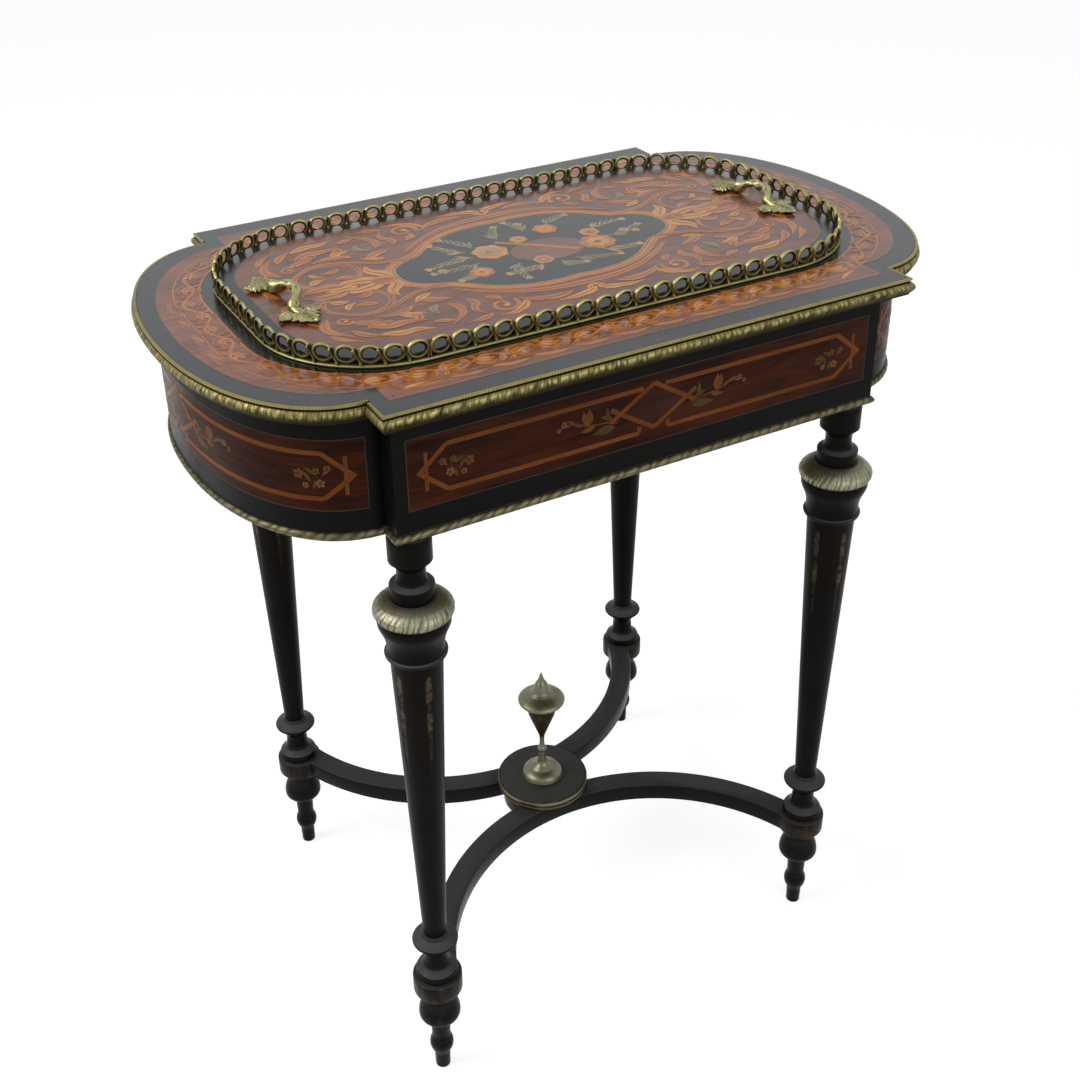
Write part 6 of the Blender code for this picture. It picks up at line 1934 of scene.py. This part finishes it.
floor_mesh = bpy.data.meshes.new("floor")
floor_corners = FLOOR_HALF * np.array([(-1, -1, 0), (1, -1, 0), (1, 1, 0), (-1, 1, 0)])
floor_mesh.from_pydata(floor_corners, [], [(0, 1, 2, 3)])
floor = bpy.data.objects.new("floor", floor_mesh)
bpy.context.scene.collection.objects.link(floor)
floor_material, floor_tree, floor_shader, _ = start_material(
    "pale_floor", Base_Color=FLOOR_GREY, Roughness=0.9, Specular_IOR_Level=0.0, Emission_Color=WHITE)
floor_glow = math_node(floor_tree, "MULTIPLY", seen_rays(floor_tree), FLOOR_GLOW)
floor_tree.links.new(floor_glow, floor_shader.inputs["Emission Strength"])
floor_mesh.materials.append(floor_material)

world = bpy.data.worlds.new("studio")
bpy.context.scene.world = world
world.use_nodes = True
sky = world.node_tree.nodes["Background"]
sky.inputs["Color"].default_value = SKY_COLOUR
sky_strength = spread(world.node_tree, seen_rays(world.node_tree), 0.0, 1.0, SKY_LIGHT, SKY_SEEN)
world.node_tree.links.new(sky_strength, sky.inputs["Strength"])
print(f"floor: {2 * FLOOR_HALF:.0f} m wide, sky: {SKY_LIGHT} for light and {SKY_SEEN} for the camera")

# %% Lamps
LAMPS = {"key_lamp": ((-2.4, 0.6, 2.6), 1.8, 55.0), "front_lamp": ((0.6, -2.8, 2.0), 2.0, 26.0)}
LAMP_TARGET = Vector((0, 0, 0.5))


def add_lamp(name, place, size, power):
    """A square soft lamp that looks at the table's middle."""
    lamp = bpy.data.lights.new(name, "AREA")
    lamp.size = size
    lamp.energy = power
    holder = bpy.data.objects.new(name, lamp)
    bpy.context.scene.collection.objects.link(holder)
    holder.location = place
    holder.rotation_euler = (LAMP_TARGET - Vector(place)).to_track_quat("-Z", "Y").to_euler()
    print(f"{name}: {power:.0f} W, {size} m square")


for name, (place, size, power) in LAMPS.items():
    add_lamp(name, place, size, power)
bpy.context.scene.view_settings.view_transform = "Standard"

# %% [markdown]
# ## Camera
#
# The camera's place and angles were solved from the table's corners in the photo. Its picture is a crop, so
# the lens axis doesn't meet the middle of the frame, and two small shifts put it where it belongs.

# %% Camera
PHOTO_SIDE = 1080
FOCAL_PIXELS = 1460.8
AXIS_PIXEL = (514.5, 453.9)
CAMERA_PLACE = Vector((-0.601, -1.078, 1.236))
YAW, PITCH, ROLL = (math.radians(a) for a in (-28.09, 29.24, -1.33))
forward = Vector((-math.sin(YAW) * math.cos(PITCH), math.cos(YAW) * math.cos(PITCH), -math.sin(PITCH)))
level = Vector((math.cos(YAW), math.sin(YAW), 0))
upright = level.cross(forward)
right = math.cos(ROLL) * level + math.sin(ROLL) * upright
up = -math.sin(ROLL) * level + math.cos(ROLL) * upright
lens = bpy.data.cameras.new("camera")
lens.sensor_width = 36.0
lens.lens = FOCAL_PIXELS * lens.sensor_width / PHOTO_SIDE
lens.shift_x = (PHOTO_SIDE / 2 - AXIS_PIXEL[0]) / PHOTO_SIDE
lens.shift_y = (AXIS_PIXEL[1] - PHOTO_SIDE / 2) / PHOTO_SIDE
camera = bpy.data.objects.new("camera", lens)
bpy.context.scene.collection.objects.link(camera)
turn_matrix = Matrix((right, up, -forward)).transposed()
camera.matrix_world = Matrix.Translation(CAMERA_PLACE) @ turn_matrix.to_4x4()
bpy.context.scene.camera = camera
print(f"camera: {lens.lens:.1f} mm lens, shift {lens.shift_x:.4f}, {lens.shift_y:.4f}")
